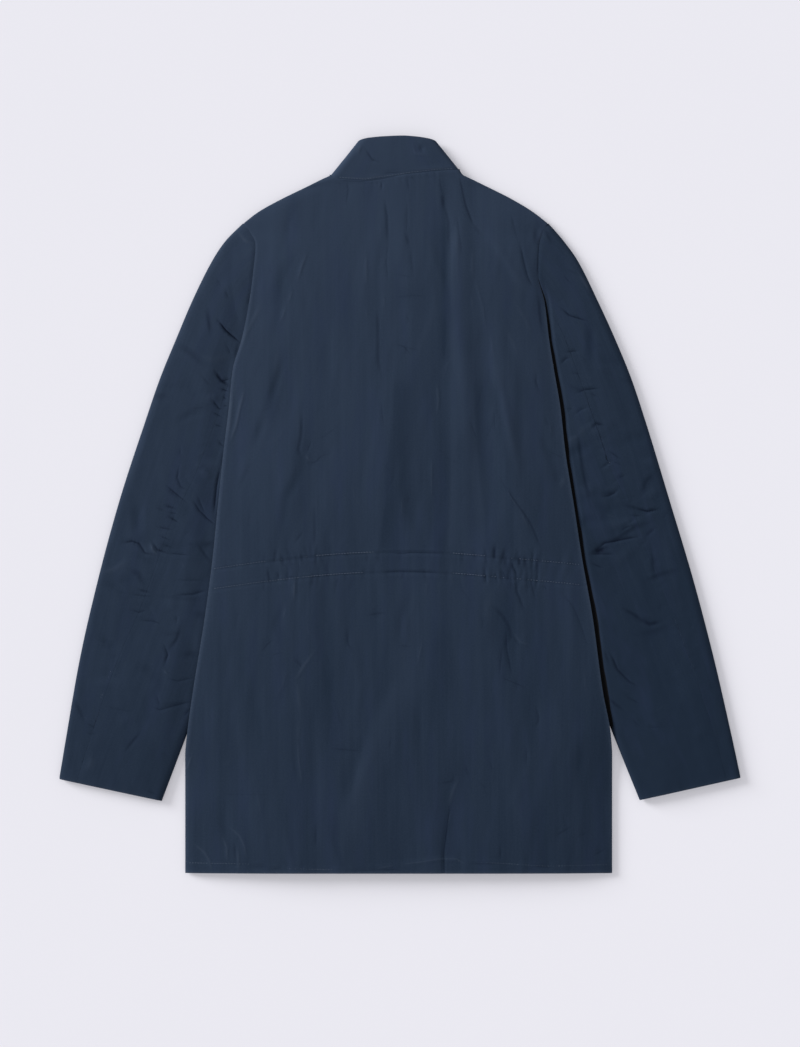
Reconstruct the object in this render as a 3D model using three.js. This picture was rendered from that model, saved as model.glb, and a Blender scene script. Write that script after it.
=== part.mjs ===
// A stand-collar safari jacket laid face down and flat, with its back upwards and its sleeves
// tucked a little way under the body.
//
// Millimetres. +X runs to the wearer's right, +Y from hem to collar and +Z up, away from the
// surface. Every piece of cloth is a wall of even thickness about a middle surface, so the z
// of a form function is the height of the middle of the cloth.

import * as THREE from "three";

// ---- driving dimensions -------------------------------------------------------------------

const CLOTH = 1.0;            // wall of one layer of shell cloth
const COLLAR_WALL = 2.0;      // the collar is two layers sewn together
const SEAM_GAP = 0.3;         // room between pieces that are sewn to each other

const HEM_Y = -424;           // lower edge of the body
const COLLAR_TOP_Y = 424;     // upper edge of the collar
const ON_FLOOR = CLOTH / 2;   // middle of a layer that lies on the surface

const SHOULDER_Y = 323;       // shoulder point, where the sleeve head meets the shoulder seam
const UNDERARM_Y = 100;       // lowest point of the armhole
const CUFF_OUTER_Y = -313;    // cuff corner on the fold over the top of the arm
const CUFF_INNER_Y = -340;    // cuff corner on the underarm fold

const SLEEVE_UNDER = 5.9;     // top layer of the sleeve where the body lies on it
const SLEEVE_FREE = 8.0;      // top layer of the sleeve beyond the body
const SLEEVE_RISE_FROM = 4;   // the sleeve begins to fill out this far beyond the body's edge
const SLEEVE_RISE_TO = 30;
const FOLD_REACH = 8;         // how far a folded sleeve edge rounds over

const FRONT_OVER_SLEEVE = 7.3;  // front panel where it lies on the sleeve
const FRONT_RISE = 26;          // the front climbs onto the sleeve over this distance
const SIDE_SEAM_HIGH = 8.2;     // side seam where the sleeve lies under it
const SIDE_SEAM_LOW = 3.2;      // side seam below the sleeve
const NOTCH_Y = -255;           // the sleeve leaves the body's edge just below here
const NOTCH_DROP = 75;          // the side seam comes down over this distance
const HALF_SEAM = (CLOTH + SEAM_GAP) / 2;  // middle of one layer to the middle of the seam

const BACK_CROWN = 13.0;      // middle of the back, over the air between the layers
const BACK_AT_NECK = 8.5;
const BACK_AT_ARMHOLE = 8.0;
const SHOULDER_SEAM = 5.2;    // height of the shoulder seams at the outline
const SHOULDER_ROLL = 14;     // how far in from the shoulder seam the back rounds over
const FOLD_FADE = 25;         // a fold dies away over this distance past each end

const FRONT_EDGE = 15;        // each front runs this far past the centre for the closure
const PLACKET_FLAT = 20;      // half width of the flat strip where the fronts overlap
const PLACKET_RAMP = 25;      // the fronts come down to the surface over this distance
const LEFT_PLACKET = 3.3;     // the left front is the outer one, so it is the lower one here
const RIGHT_PLACKET = LEFT_PLACKET + CLOTH + SEAM_GAP;

const BUTTON = { radius: 10, thick: 2.5, hole: 1.1, holeSpread: 2.1, top: 262, pitch: 112, count: 6 };
const CASING = { width: 23, topAtCentre: -53.5, sag: 18.5, halfWidth: 190 };

const NAVY = 0x2d384b;
const NAVY_INSIDE = 0x283243;
const HORN = 0x1b1c20;

// ---- tables of sizes ----------------------------------------------------------------------
// left and right are distances from the centre line, because the two sides lie a little
// differently.

function table(columns, rows) {
  return rows.map((row) => Object.fromEntries(columns.map((column, k) => [column, row[k]])));
}

// Outline of the body from the hem up to the shoulder points and along the shoulder seams.
const BODY_EDGE = table(["y", "left", "right"], [
  [-424, 247, 244],
  [-290, 247, 244],
  [-262, 244.5, 242.5],
  [-215, 238, 235],
  [-130, 224, 223.5],
  [-60, 214.5, 211],
  [0, 208, 201.5],
  [60, 202, 192],
  [110, 196, 186.5],
  [155, 192.5, 179],
  [190, 183, 173],
  [232, 173.5, 168],
  [265, 169, 159.5],
  [299, 166, 159.5],
  [323, 180, 170],
  [336, 162, 152],
  [350, 138, 130],
  [364, 110, 102.5],
  [377, 80, 74],
]);

// The fold along the top of the arm, from the shoulder point to the cuff.
const SLEEVE_OUTER = table(["y", "left", "right"], [
  [323, 180.5, 170.5],
  [302, 201, 188.5],
  [281, 215, 203.5],
  [235, 238, 226.5],
  [189, 257.5, 247],
  [97, 292, 280.5],
  [5, 322, 309.5],
  [-87, 347, 337],
  [-179, 368, 361],
  [-271, 384, 382],
  [-313, 391, 391],
]);

// The underarm fold, from the lowest point of the armhole to the cuff.
const SLEEVE_INNER = table(["y", "left", "right"], [
  [100, 113, 109],
  [-10, 151, 147],
  [-105, 187, 185],
  [-185, 216, 215],
  [-263, 245, 245],
  [-340, 274, 276],
]);

// The armhole on the back and on the front. Below y = 232 the back's is hidden under the back.
const ARMHOLE = table(["y", "backLeft", "backRight", "frontLeft", "frontRight"], [
  [323, 180.5, 170.5, 180.5, 170.5],
  [299, 166, 159.5, 167, 158],
  [265, 169, 159.5, 149, 142],
  [232, 173.5, 168, 137, 130],
  [190, 166, 161, 126, 120],
  [145, 149, 145, 116, 111],
  [100, 113, 109, 113, 109],
]);

// Where the two lengthwise seams cross the sleeve: 0 is the underarm fold, 1 the outer fold.
const SLEEVE_SEAMS = table(["along", "backLeft", "backRight", "front"], [
  [0, 0.45, 0.55, 0.15],
  [0.3, 0.49, 0.58, 0.15],
  [0.45, 0.57, 0.69, 0.14],
  [0.6, 0.61, 0.74, 0.14],
  [0.75, 0.7, 0.8, 0.13],
  [0.9, 0.785, 0.85, 0.12],
  [1, 0.84, 0.87, 0.12],
]);

// The front neckline, as distances from the centre line towards each front's own side.
const FRONT_NECK = table(["y", "left", "right"], [
  [285, -FRONT_EDGE, -FRONT_EDGE],
  [286.5, 12, 12],
  [291, 36, 36],
  [300, 52, 52],
  [315, 65, 63],
  [350, 75, 71.2],
  [377, 77, 71.5],
]);

// The back neckline.
const BACK_NECK = table(["x", "y"], [
  [-79, 377],
  [-73, 376.2],
  [-39, 372.5],
  [12, 380],
  [58, 384],
  [72, 383.5],
]);

// The collar from centre front over the left fold, across the back and back to centre front.
// base is the neckline seam and top the free edge.
const COLLAR = table(["baseX", "baseY", "baseZ", "topX", "topY", "topZ"], [
  [-1.5, 286.5, 4.2, -1.5, 331, 4.2],
  [-20, 288.8, 3.6, -11, 332.5, 3.4],
  [-39, 294, 1.3, -20, 337, 1.2],
  [-54, 305, 1.0, -27, 346, 1.0],
  [-66, 322, 1.0, -33.5, 361, 1.0],
  [-74.3, 350, 1.0, -38.5, 385, 1.0],
  [-75.8, 377.6, 1.3, -43.5, 413, 1.3],
  [-77.2, 378.4, 4.2, -44.5, 418, 4.2],
  [-76, 378.4, 7.0, -42.5, 420, 7.0],
  [-71, 377.2, 8.4, -35, 422, 8.3],
  [-39, 373.4, 8.5, -18, 423.6, 8.5],
  [12, 380.9, 8.5, 4, COLLAR_TOP_Y, 8.5],
  [40, 383.4, 8.5, 19, 423.6, 8.5],
  [65, 385.4, 8.4, 33, 422, 8.3],
  [70.4, 385.4, 7.0, 40.5, 420, 7.0],
  [71.6, 385.2, 4.2, 42.5, 418, 4.2],
  [70.4, 384.2, 1.3, 41.8, 413, 1.3],
  [70.6, 350, 1.0, 38.5, 385, 1.0],
  [64, 320, 1.0, 33.5, 361, 1.0],
  [54, 305, 1.0, 27, 346, 1.0],
  [39, 294, 1.3, 20, 337, 1.2],
  [20, 288.8, 3.6, 11, 332.5, 3.4],
  [1.5, 286.5, 4.2, 1.5, 331, 4.2],
]);

// The largest folds of the back, each a soft ridge, or a trough where height is below 0, from
// one point to another.
const BACK_FOLDS = table(["fromX", "fromY", "toX", "toY", "halfWidth", "height"], [
  [46, 350, 51, 235, 20, -1.2],
  [66, 320, 71, 60, 24, 2.0],
  [94, 200, 100, -28, 26, -3.0],
  [118, 110, 138, -25, 22, 1.8],
  [-4, 150, -22, -25, 30, 1.2],
  [-113, 105, -131, -25, 24, 1.5],
  [108, -125, 132, -180, 22, -1.5],
  [78, -300, 52, -424, 24, -1.5],
]);

// ---- small mathematics --------------------------------------------------------------------

function mix(from, to, share) {
  return from + (to - from) * share;
}

function smooth(from, to, value) {
  const share = Math.min(Math.max((value - from) / (to - from), 0), 1);
  return share * share * (3 - 2 * share);
}

// One column of a table at a value of its key column, in straight lines between the rows.
function lookUp(rows, key, value, column) {
  const rising = rows[0][key] < rows[rows.length - 1][key] ? rows : [...rows].reverse();
  let k = 1;
  while (k < rising.length - 1 && rising[k][key] < value) k += 1;
  const low = rising[k - 1];
  const high = rising[k];
  const share = Math.min(Math.max((value - low[key]) / (high[key] - low[key]), 0), 1);
  return mix(low[column], high[column], share);
}

// The height of a rounded edge: 0 at the edge and 1 once it is reach further in.
function roll(distance, reach) {
  const share = Math.min(Math.max(distance / reach, 0), 1);
  return Math.sqrt(1 - (1 - share) ** 2);
}

// Moves each wanted place along just enough that neighbours stay at least room apart, with the
// first and last kept where they are.
function spread(wanted, room) {
  const places = [...wanted];
  const last = places.length - 1;
  const step = Math.min(room, (places[last] - places[0]) / last);
  for (let k = 1; k < last; k += 1) places[k] = Math.max(places[k], places[k - 1] + step);
  for (let k = last - 1; k > 0; k -= 1) places[k] = Math.min(places[k], places[k + 1] - step);
  return places;
}

// ---- cloth as a wall ----------------------------------------------------------------------

// Closes a grid of middle-surface points into a wall. The outside faces the way the turn from
// a row's direction to the next row's points.
function clothWall(grid, wall) {
  const rows = grid.length;
  const columns = grid[0].length;
  const place = (side, i, j) => side * rows * columns + i * columns + j;
  const positions = new Float32Array(2 * rows * columns * 3);
  for (let i = 0; i < rows; i += 1) {
    for (let j = 0; j < columns; j += 1) {
      const across = grid[i][Math.min(j + 1, columns - 1)].clone().sub(grid[i][Math.max(j - 1, 0)]);
      const along = grid[Math.min(i + 1, rows - 1)][j].clone().sub(grid[Math.max(i - 1, 0)][j]);
      const outwards = across.cross(along).normalize().multiplyScalar(wall / 2);
      grid[i][j].clone().add(outwards).toArray(positions, place(0, i, j) * 3);
      grid[i][j].clone().sub(outwards).toArray(positions, place(1, i, j) * 3);
    }
  }
  const triangles = [];
  const quad = (a, b, c, d) => triangles.push(a, b, c, a, c, d);
  for (let i = 0; i < rows - 1; i += 1) {
    for (let j = 0; j < columns - 1; j += 1) {
      quad(place(0, i, j), place(0, i, j + 1), place(0, i + 1, j + 1), place(0, i + 1, j));
      quad(place(1, i, j), place(1, i + 1, j), place(1, i + 1, j + 1), place(1, i, j + 1));
    }
  }
  const rim = (i, j, nextI, nextJ) => {
    quad(place(0, nextI, nextJ), place(0, i, j), place(1, i, j), place(1, nextI, nextJ));
  };
  for (let j = 0; j < columns - 1; j += 1) {
    rim(0, j, 0, j + 1);
    rim(rows - 1, j + 1, rows - 1, j);
  }
  for (let i = 0; i < rows - 1; i += 1) {
    rim(i + 1, 0, i, 0);
    rim(i, columns - 1, i + 1, columns - 1);
  }
  const geometry = new THREE.BufferGeometry();
  geometry.setAttribute("position", new THREE.BufferAttribute(positions, 3));
  geometry.setIndex(triangles);
  geometry.computeVertexNormals();
  return geometry;
}

function fabric(colour) {
  return new THREE.MeshStandardMaterial({ color: colour, roughness: 0.9, metalness: 0 });
}

function piece(name, geometry, material) {
  const mesh = new THREE.Mesh(geometry, material);
  mesh.name = name;
  return mesh;
}

// ---- the sides ----------------------------------------------------------------------------
// sign is the side's direction along X; column picks its column in the tables.

const LEFT = { name: "left", sign: -1, column: "left", back: "backLeft", front: "frontLeft" };
const RIGHT = { name: "right", sign: 1, column: "right", back: "backRight", front: "frontRight" };

function bodyEdge(side, y) {
  return lookUp(BODY_EDGE, "y", y, side.column);
}

// 1 where the sleeve lies under the body's edge, falling to 0 below the notch between them.
function overSleeve(y) {
  return smooth(NOTCH_Y - NOTCH_DROP, NOTCH_Y, y);
}

function sideSeamHeight(y) {
  return mix(SIDE_SEAM_LOW, SIDE_SEAM_HIGH, overSleeve(y));
}

// ---- sleeves ------------------------------------------------------------------------------
// across runs from the underarm fold (0) to the outer fold (1) and along from armhole to cuff.

function sleevePlace(side, across, along, armholeColumn) {
  const innerY = mix(UNDERARM_Y, CUFF_INNER_Y, along);
  const outerY = mix(SHOULDER_Y, CUFF_OUTER_Y, along);
  const innerX = lookUp(SLEEVE_INNER, "y", innerY, side.column);
  const outerX = lookUp(SLEEVE_OUTER, "y", outerY, side.column);
  const seamY = mix(UNDERARM_Y, SHOULDER_Y, across);
  const first = lookUp(SLEEVE_INNER, "y", UNDERARM_Y, side.column);
  const last = lookUp(SLEEVE_OUTER, "y", SHOULDER_Y, side.column);
  const bow = lookUp(ARMHOLE, "y", seamY, armholeColumn) - mix(first, last, across);
  const x = mix(innerX, outerX, across) + bow * (1 - along) ** 2 + SEAM_GAP / 2;
  return { x, y: mix(innerY, outerY, across), width: Math.hypot(outerX - innerX, outerY - innerY) };
}

// A point of the sleeve. The top layer is raised over the bottom one, and the two meet in
// elliptic folds.
function sleevePoint(side, across, along, isTop) {
  const { x, y, width } = sleevePlace(side, across, along, isTop ? side.back : side.front);
  const free = smooth(SLEEVE_RISE_FROM, SLEEVE_RISE_TO, x - bodyEdge(side, y));
  const atSeam = smooth(225, 250, y) * (1 - smooth(0, 0.25, along));
  const top = Math.max(mix(SLEEVE_UNDER, SLEEVE_FREE, free), mix(SLEEVE_UNDER, BACK_AT_ARMHOLE, atSeam));
  const fold = (top + ON_FLOOR) / 2;
  const fromFold = Math.min(across, 1 - across) * width;
  const height = (isTop ? top - fold : ON_FLOOR - fold) * roll(fromFold, FOLD_REACH);
  return new THREE.Vector3(side.sign * x, y, fold + height);
}

// Shares of the sleeve's width at which a fold is drawn, from its tip inwards.
function foldSteps(width) {
  return [0, 0.13, 0.5, 1].map((share) => (share * FOLD_REACH) / width);
}

const SLEEVE_ROWS = [0, 0.05, 0.1, 0.16, 0.23, 0.3, 0.38, 0.46, 0.54, 0.62, 0.7, 0.78, 0.86, 0.93, 1];
const HALF_GAP_ACROSS = SEAM_GAP / 2 / 150;   // half a seam gap as a share of the sleeve's width

// Places between two seams or folds. At the armhole they sit at its own bends, and further down
// the sleeve they even out.
function placesBetween(from, to, bends, along) {
  return bends.map((y, k) => {
    const atBend = (y - UNDERARM_Y) / (SHOULDER_Y - UNDERARM_Y);
    return mix(atBend, mix(from, to, (k + 1) / (bends.length + 1)), smooth(0, 0.3, along));
  });
}

function upperSleeveRow(side, along) {
  const width = sleevePlace(side, 0.5, along, side.back).width;
  const tip = foldSteps(width);
  const backSeam = lookUp(SLEEVE_SEAMS, "along", along, side.back) + HALF_GAP_ACROSS;
  const frontSeam = lookUp(SLEEVE_SEAMS, "along", along, "front") + HALF_GAP_ACROSS;
  const top = [backSeam, ...placesBetween(backSeam, 1 - tip[3], [232, 265, 299], along)];
  const bottom = [...placesBetween(1 - tip[3], frontSeam, [299, 265, 232, 190], along), frontSeam];
  return [
    ...top.map((across) => sleevePoint(side, across, along, true)),
    ...[3, 2, 1, 0].map((k) => sleevePoint(side, 1 - tip[k], along, true)),
    ...[1, 2, 3].map((k) => sleevePoint(side, 1 - tip[k], along, false)),
    ...bottom.map((across) => sleevePoint(side, across, along, false)),
  ];
}

function underSleeveRow(side, along) {
  const width = sleevePlace(side, 0.5, along, side.back).width;
  const tip = foldSteps(width);
  const backSeam = lookUp(SLEEVE_SEAMS, "along", along, side.back) - HALF_GAP_ACROSS;
  const frontSeam = lookUp(SLEEVE_SEAMS, "along", along, "front") - HALF_GAP_ACROSS;
  const top = [0, 0.25, 0.5, 0.75].map((share) => mix(backSeam, tip[3], share));
  return [
    ...top.map((across) => sleevePoint(side, across, along, true)),
    ...[3, 2, 1, 0].map((k) => sleevePoint(side, tip[k], along, true)),
    ...[1, 2, 3].map((k) => sleevePoint(side, tip[k], along, false)),
    sleevePoint(side, frontSeam, along, false),
  ];
}

// Turns the rows round where that is needed for the wall's outside to face out.
function facing(rows, flip) {
  return flip ? rows.map((row) => [...row].reverse()) : rows;
}

function sleevePieces(side) {
  const upper = SLEEVE_ROWS.map((along) => upperSleeveRow(side, along));
  const under = SLEEVE_ROWS.map((along) => underSleeveRow(side, along));
  return [
    piece(`upper_sleeve_${side.name}`, clothWall(facing(upper, side.sign > 0), CLOTH), fabric(NAVY)),
    piece(`under_sleeve_${side.name}`, clothWall(facing(under, side.sign < 0), CLOTH), fabric(NAVY)),
  ];
}

// ---- fronts -------------------------------------------------------------------------------

// Outer edge of a front: side seam, underarm, armhole and shoulder seam.
function frontOuter(side, y) {
  const turn = 28;   // the side seam leaves the body's edge this far below the underarm
  if (y <= UNDERARM_Y - turn) return bodyEdge(side, y);
  if (y <= UNDERARM_Y) {
    const edge = bodyEdge(side, UNDERARM_Y - turn);
    const underarm = lookUp(ARMHOLE, "y", UNDERARM_Y, side.front);
    return mix(edge, underarm, (y - UNDERARM_Y + turn) / turn) - SEAM_GAP / 2;
  }
  if (y <= SHOULDER_Y) return lookUp(ARMHOLE, "y", y, side.front) - SEAM_GAP / 2;
  return bodyEdge(side, y);
}

function frontInner(side, y) {
  return y <= FRONT_NECK[0].y ? -FRONT_EDGE : lookUp(FRONT_NECK, "y", y, side.column);
}

// x is the distance from the centre line towards the panel's own side.
function frontHeight(side, x, y) {
  const sleeveEdge = lookUp(SLEEVE_INNER, "y", y, side.column);
  const beside = 1 - smooth(UNDERARM_Y, UNDERARM_Y + 35, y);
  const onSleeve = smooth(sleeveEdge - FRONT_RISE, sleeveEdge - 1, x) * overSleeve(y) * beside;
  const seam = sideSeamHeight(y) - HALF_SEAM - ON_FLOOR;
  const edge = bodyEdge(side, y);
  const atSeam = smooth(edge - FRONT_RISE, edge, x) * beside;
  const shoulder = (SHOULDER_SEAM - HALF_SEAM - ON_FLOOR) * smooth(SHOULDER_Y - 12, SHOULDER_Y + 12, y)
    * smooth(SHOULDER_ROLL, 0, edge - x);
  const placket = (side.sign < 0 ? LEFT_PLACKET : RIGHT_PLACKET) - ON_FLOOR;
  const closure = placket * smooth(PLACKET_FLAT + PLACKET_RAMP, PLACKET_FLAT, x);
  return ON_FLOOR + Math.max((FRONT_OVER_SLEEVE - ON_FLOOR) * onSleeve, seam * atSeam, shoulder, closure);
}

const FRONT_ROWS = [
  HEM_Y, -390, -355, -330, -305, -280, -255, -215, -165, -110, -60, -10, 40, 72, 86, 100, 122,
  145, 190, 232, 265, 285, 286.5, 291, 300, 315, SHOULDER_Y, 336, 350, 364, 376.8,
];

function frontRow(side, y) {
  const inner = frontInner(side, y);
  const outer = frontOuter(side, y);
  const risen = Math.min(lookUp(SLEEVE_INNER, "y", y, side.column), outer);
  const overlap = PLACKET_FLAT + PLACKET_RAMP;
  const wanted = [
    inner, PLACKET_FLAT, PLACKET_FLAT + PLACKET_RAMP / 2, overlap,
    mix(overlap, risen - FRONT_RISE, 0.5), risen - FRONT_RISE,
    risen - FRONT_RISE * 0.65, risen - FRONT_RISE * 0.35, risen,
    mix(risen, outer, 0.5), outer,
  ];
  return spread(wanted, 3).map((x) => new THREE.Vector3(side.sign * x, y, frontHeight(side, x, y)));
}

function frontPanel(side) {
  const rows = FRONT_ROWS.map((y) => frontRow(side, y));
  return piece(`front_${side.name}`, clothWall(facing(rows, side.sign < 0), CLOTH), fabric(NAVY));
}

// ---- back ---------------------------------------------------------------------------------

// Sum of the folds at a point: full along each fold's middle stretch, dying away past its ends.
function backFolds(x, y) {
  let height = 0;
  for (const fold of BACK_FOLDS) {
    const runX = fold.toX - fold.fromX;
    const runY = fold.toY - fold.fromY;
    const length = Math.hypot(runX, runY);
    const along = ((x - fold.fromX) * runX + (y - fold.fromY) * runY) / length;
    const aside = Math.abs((x - fold.fromX) * runY - (y - fold.fromY) * runX) / length;
    const ends = smooth(-FOLD_FADE, FOLD_FADE, along) * smooth(-FOLD_FADE, FOLD_FADE, length - along);
    height += fold.height * ends * (1 - smooth(0, fold.halfWidth, aside));
  }
  return height;
}

// Height of the back at its outline: the side seam low down, the sleeve head beside the armhole
// and the shoulder seam at the top.
function backEdgeHeight(y) {
  const overArmhole = smooth(60, 232, y);
  const side = sideSeamHeight(y) + HALF_SEAM;
  return mix(mix(side, BACK_AT_ARMHOLE, overArmhole), SHOULDER_SEAM + HALF_SEAM, smooth(299, SHOULDER_Y, y));
}

function backHeight(x, y) {
  const side = x < 0 ? LEFT : RIGHT;
  const edge = bodyEdge(side, y);
  const low = backEdgeHeight(y);
  const crown = mix(BACK_CROWN, BACK_AT_NECK, smooth(250, 365, y));
  const swell = 1 - Math.min(Math.abs(x) / edge, 1) ** 4;
  const body = mix(Math.max(low, mix(low, BACK_AT_ARMHOLE, smooth(299, 340, y))), crown, swell);
  const shoulder = smooth(299, SHOULDER_Y, y);
  const rounded = mix(low, body, roll(edge - Math.abs(x), SHOULDER_ROLL * 2));
  return mix(body, rounded, shoulder) + backFolds(x, y);
}

const BACK_ROWS = [
  HEM_Y, -390, -355, -330, -305, -280, -255, -215, -165, -110, -60, -10, 40, 85, 120, 155, 190,
  232, 265, 299, 311, SHOULDER_Y, 336, 350, 364,
];
const BACK_EDGE_STEPS = [0, 5, 14, 30];
const BACK_BETWEEN = 16;      // places between the edge steps of the two sides

function backColumns(y) {
  const seam = y > 200 ? SEAM_GAP / 2 : 0;
  const left = -bodyEdge(LEFT, y) + seam;
  const right = bodyEdge(RIGHT, y) - seam;
  const inset = BACK_EDGE_STEPS[BACK_EDGE_STEPS.length - 1];
  const between = Array.from({ length: BACK_BETWEEN }, (_, k) => (
    mix(left + inset, right - inset, (k + 1) / (BACK_BETWEEN + 1))
  ));
  const wanted = [
    ...BACK_EDGE_STEPS.map((step) => left + step), ...between,
    ...[...BACK_EDGE_STEPS].reverse().map((step) => right - step),
  ];
  return spread(wanted, 3);
}

function backRow(y) {
  return backColumns(y).map((x) => new THREE.Vector3(x, y, backHeight(x, y)));
}

// The last row of the back runs along the neckline seam.
function neckRow(columns) {
  const left = BACK_NECK[0].x;
  const right = BACK_NECK[BACK_NECK.length - 1].x;
  return Array.from({ length: columns }, (_, k) => {
    const x = mix(left, right, k / (columns - 1));
    const low = SHOULDER_SEAM + HALF_SEAM;
    const z = mix(low, BACK_AT_NECK, roll(Math.min(x - left, right - x), SHOULDER_ROLL / 2));
    return new THREE.Vector3(x, lookUp(BACK_NECK, "x", x, "y") - 2 * SEAM_GAP, z);
  });
}

function backPanel() {
  const rows = BACK_ROWS.map(backRow);
  rows.push(neckRow(rows[0].length));
  return piece("back", clothWall(rows, CLOTH), fabric(NAVY));
}

// A strip inside the back that makes the tunnel for the waist drawcord.
function waistCasing() {
  const under = CLOTH + 2 * SEAM_GAP;
  const columns = backColumns(CASING.topAtCentre).filter((x) => Math.abs(x) < CASING.halfWidth);
  const row = (drop) => columns.map((x) => {
    const y = CASING.topAtCentre - CASING.sag * (x / CASING.halfWidth) ** 2 - drop;
    return new THREE.Vector3(x, y, backHeight(x, y) - under);
  });
  return piece("waist_casing", clothWall([row(CASING.width), row(0)], CLOTH), fabric(NAVY_INSIDE));
}

// ---- collar -------------------------------------------------------------------------------

function collarStrip() {
  const level = (share) => COLLAR.map((row) => new THREE.Vector3(
    mix(row.baseX, row.topX, share),
    mix(row.baseY, row.topY, share),
    mix(row.baseZ, row.topZ, share),
  ));
  return piece("collar", clothWall([0, 0.5, 1].map(level), COLLAR_WALL), fabric(NAVY));
}

// ---- buttons ------------------------------------------------------------------------------

function button(number) {
  const outline = new THREE.Shape();
  outline.absarc(0, 0, BUTTON.radius, 0, Math.PI * 2, false);
  for (let k = 0; k < 4; k += 1) {
    const angle = Math.PI / 4 + (k * Math.PI) / 2;
    const hole = new THREE.Path();
    const x = BUTTON.holeSpread * Math.cos(angle);
    const y = BUTTON.holeSpread * Math.sin(angle);
    hole.absarc(x, y, BUTTON.hole, 0, Math.PI * 2, true);
    outline.holes.push(hole);
  }
  const options = { depth: BUTTON.thick, bevelEnabled: false, curveSegments: 6 };
  const material = new THREE.MeshStandardMaterial({ color: HORN, roughness: 0.4, metalness: 0 });
  const mesh = piece(`button_${number + 1}`, new THREE.ExtrudeGeometry(outline, options), material);
  mesh.position.set(0, BUTTON.top - number * BUTTON.pitch, 0);
  return mesh;
}

// ---- the jacket ---------------------------------------------------------------------------

const jacket = new THREE.Group();
jacket.add(backPanel(), waistCasing(), collarStrip());
for (const side of [LEFT, RIGHT]) {
  jacket.add(frontPanel(side), ...sleevePieces(side));
}
for (let number = 0; number < BUTTON.count; number += 1) {
  jacket.add(button(number));
}

export default jacket;
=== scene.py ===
# A stand-collar safari jacket, laid face down and flat with its back upwards.
#
# Form functions work in millimetres, in the frame's axes: +X to the wearer's right, +Y from hem
# to collar and +Z up. Meshes are in metres. The z of a form function is the middle of the cloth.
# Inside a sleeve's or a front's functions x counts outwards from the centre line on either side.

import math

import bmesh
import bpy
import numpy as np
from mathutils import Matrix, Vector
from mathutils.bvhtree import BVHTree


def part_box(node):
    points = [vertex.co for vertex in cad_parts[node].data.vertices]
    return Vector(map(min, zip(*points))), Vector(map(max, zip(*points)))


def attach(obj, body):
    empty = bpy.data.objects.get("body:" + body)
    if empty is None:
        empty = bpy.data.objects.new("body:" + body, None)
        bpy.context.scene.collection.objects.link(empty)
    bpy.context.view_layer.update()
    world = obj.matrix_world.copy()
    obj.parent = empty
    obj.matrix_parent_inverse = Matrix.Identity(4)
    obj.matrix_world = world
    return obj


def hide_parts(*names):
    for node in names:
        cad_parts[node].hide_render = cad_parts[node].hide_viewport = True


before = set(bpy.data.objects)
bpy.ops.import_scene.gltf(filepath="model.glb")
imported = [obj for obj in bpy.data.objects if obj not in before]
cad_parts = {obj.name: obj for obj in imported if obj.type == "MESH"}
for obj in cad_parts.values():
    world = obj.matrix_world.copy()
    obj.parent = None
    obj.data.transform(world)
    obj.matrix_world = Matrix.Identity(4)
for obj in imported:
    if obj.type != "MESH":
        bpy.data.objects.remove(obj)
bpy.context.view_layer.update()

# ---- driving dimensions --------------------------------------------------------------------

MM = 0.001
CLOTH = 1.0
COLLAR_WALL = 2.0
SEAM_GAP = 0.3

HEM_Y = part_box("back")[0].y / MM
COLLAR_TOP_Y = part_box("collar")[1].y / MM
ON_FLOOR = CLOTH / 2

SHOULDER_Y = 323.0
ARMHOLE_TOP_Y = 299.0
ARMHOLE_LOW_Y = 232.0
UNDERARM_Y = 100.0
CUFF_OUTER_Y = {"left": -316.0, "right": -314.5}
CUFF_INNER_Y = {"left": -341.0, "right": -340.0}

# Height of a sleeve's top layer under the body and clear of it, how far beyond the body's edge
# it rises from one to the other, and how far in its folded edges are round.
SLEEVE_UNDER = 5.9
SLEEVE_FREE = 8.0
SLEEVE_RISE = {"left": (4, 30), "right": (1.5, 8)}
FOLD_REACH = 8.0
SLEEVE_LENGTH = 640.0
SLEEVE_CUT = 660.0

# The sides lie high over the sleeves, down to the notch where sleeve and body part.
FRONT_OVER_SLEEVE = 7.3
FRONT_RISE = 26.0
SIDE_SEAM_HIGH = 8.2
SIDE_SEAM_LOW = 3.2
NOTCH_Y = -255.0
NOTCH_DROP = 75.0
HALF_SEAM = (CLOTH + SEAM_GAP) / 2

BACK_CROWN = 13.0
BACK_AT_NECK = 8.5
BACK_AT_ARMHOLE = 8.0
SHOULDER_SEAM = 5.2
SHOULDER_ROLL = 14.0

FRONT_EDGE = 15.0
PLACKET_FLAT = 20.0
PLACKET_RAMP = 25.0
LEFT_PLACKET = 3.3
RIGHT_PLACKET = LEFT_PLACKET + CLOTH + SEAM_GAP

CASING_WIDTH = 23.0
CASING_HALF = 190.0
COLLAR_HEIGHT = 44.0

SIGN = {"left": -1, "right": 1}


# ---- small mathematics ---------------------------------------------------------------------

def table(columns, rows):
    return {name: np.array([row[k] for row in rows], float) for k, name in enumerate(columns)}


def mix(start, end, share):
    return start + (end - start) * share


def smooth(start, end, value):
    share = np.clip((value - start) / (end - start), 0, 1)
    return share * share * (3 - 2 * share)


def roll(distance, reach):
    """Height of a rounded edge: 0 at the edge and 1 once it is reach further in."""
    share = np.clip(distance / reach, 0, 1)
    return np.sqrt(np.maximum(1 - (1 - share) ** 2, 0))


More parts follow.
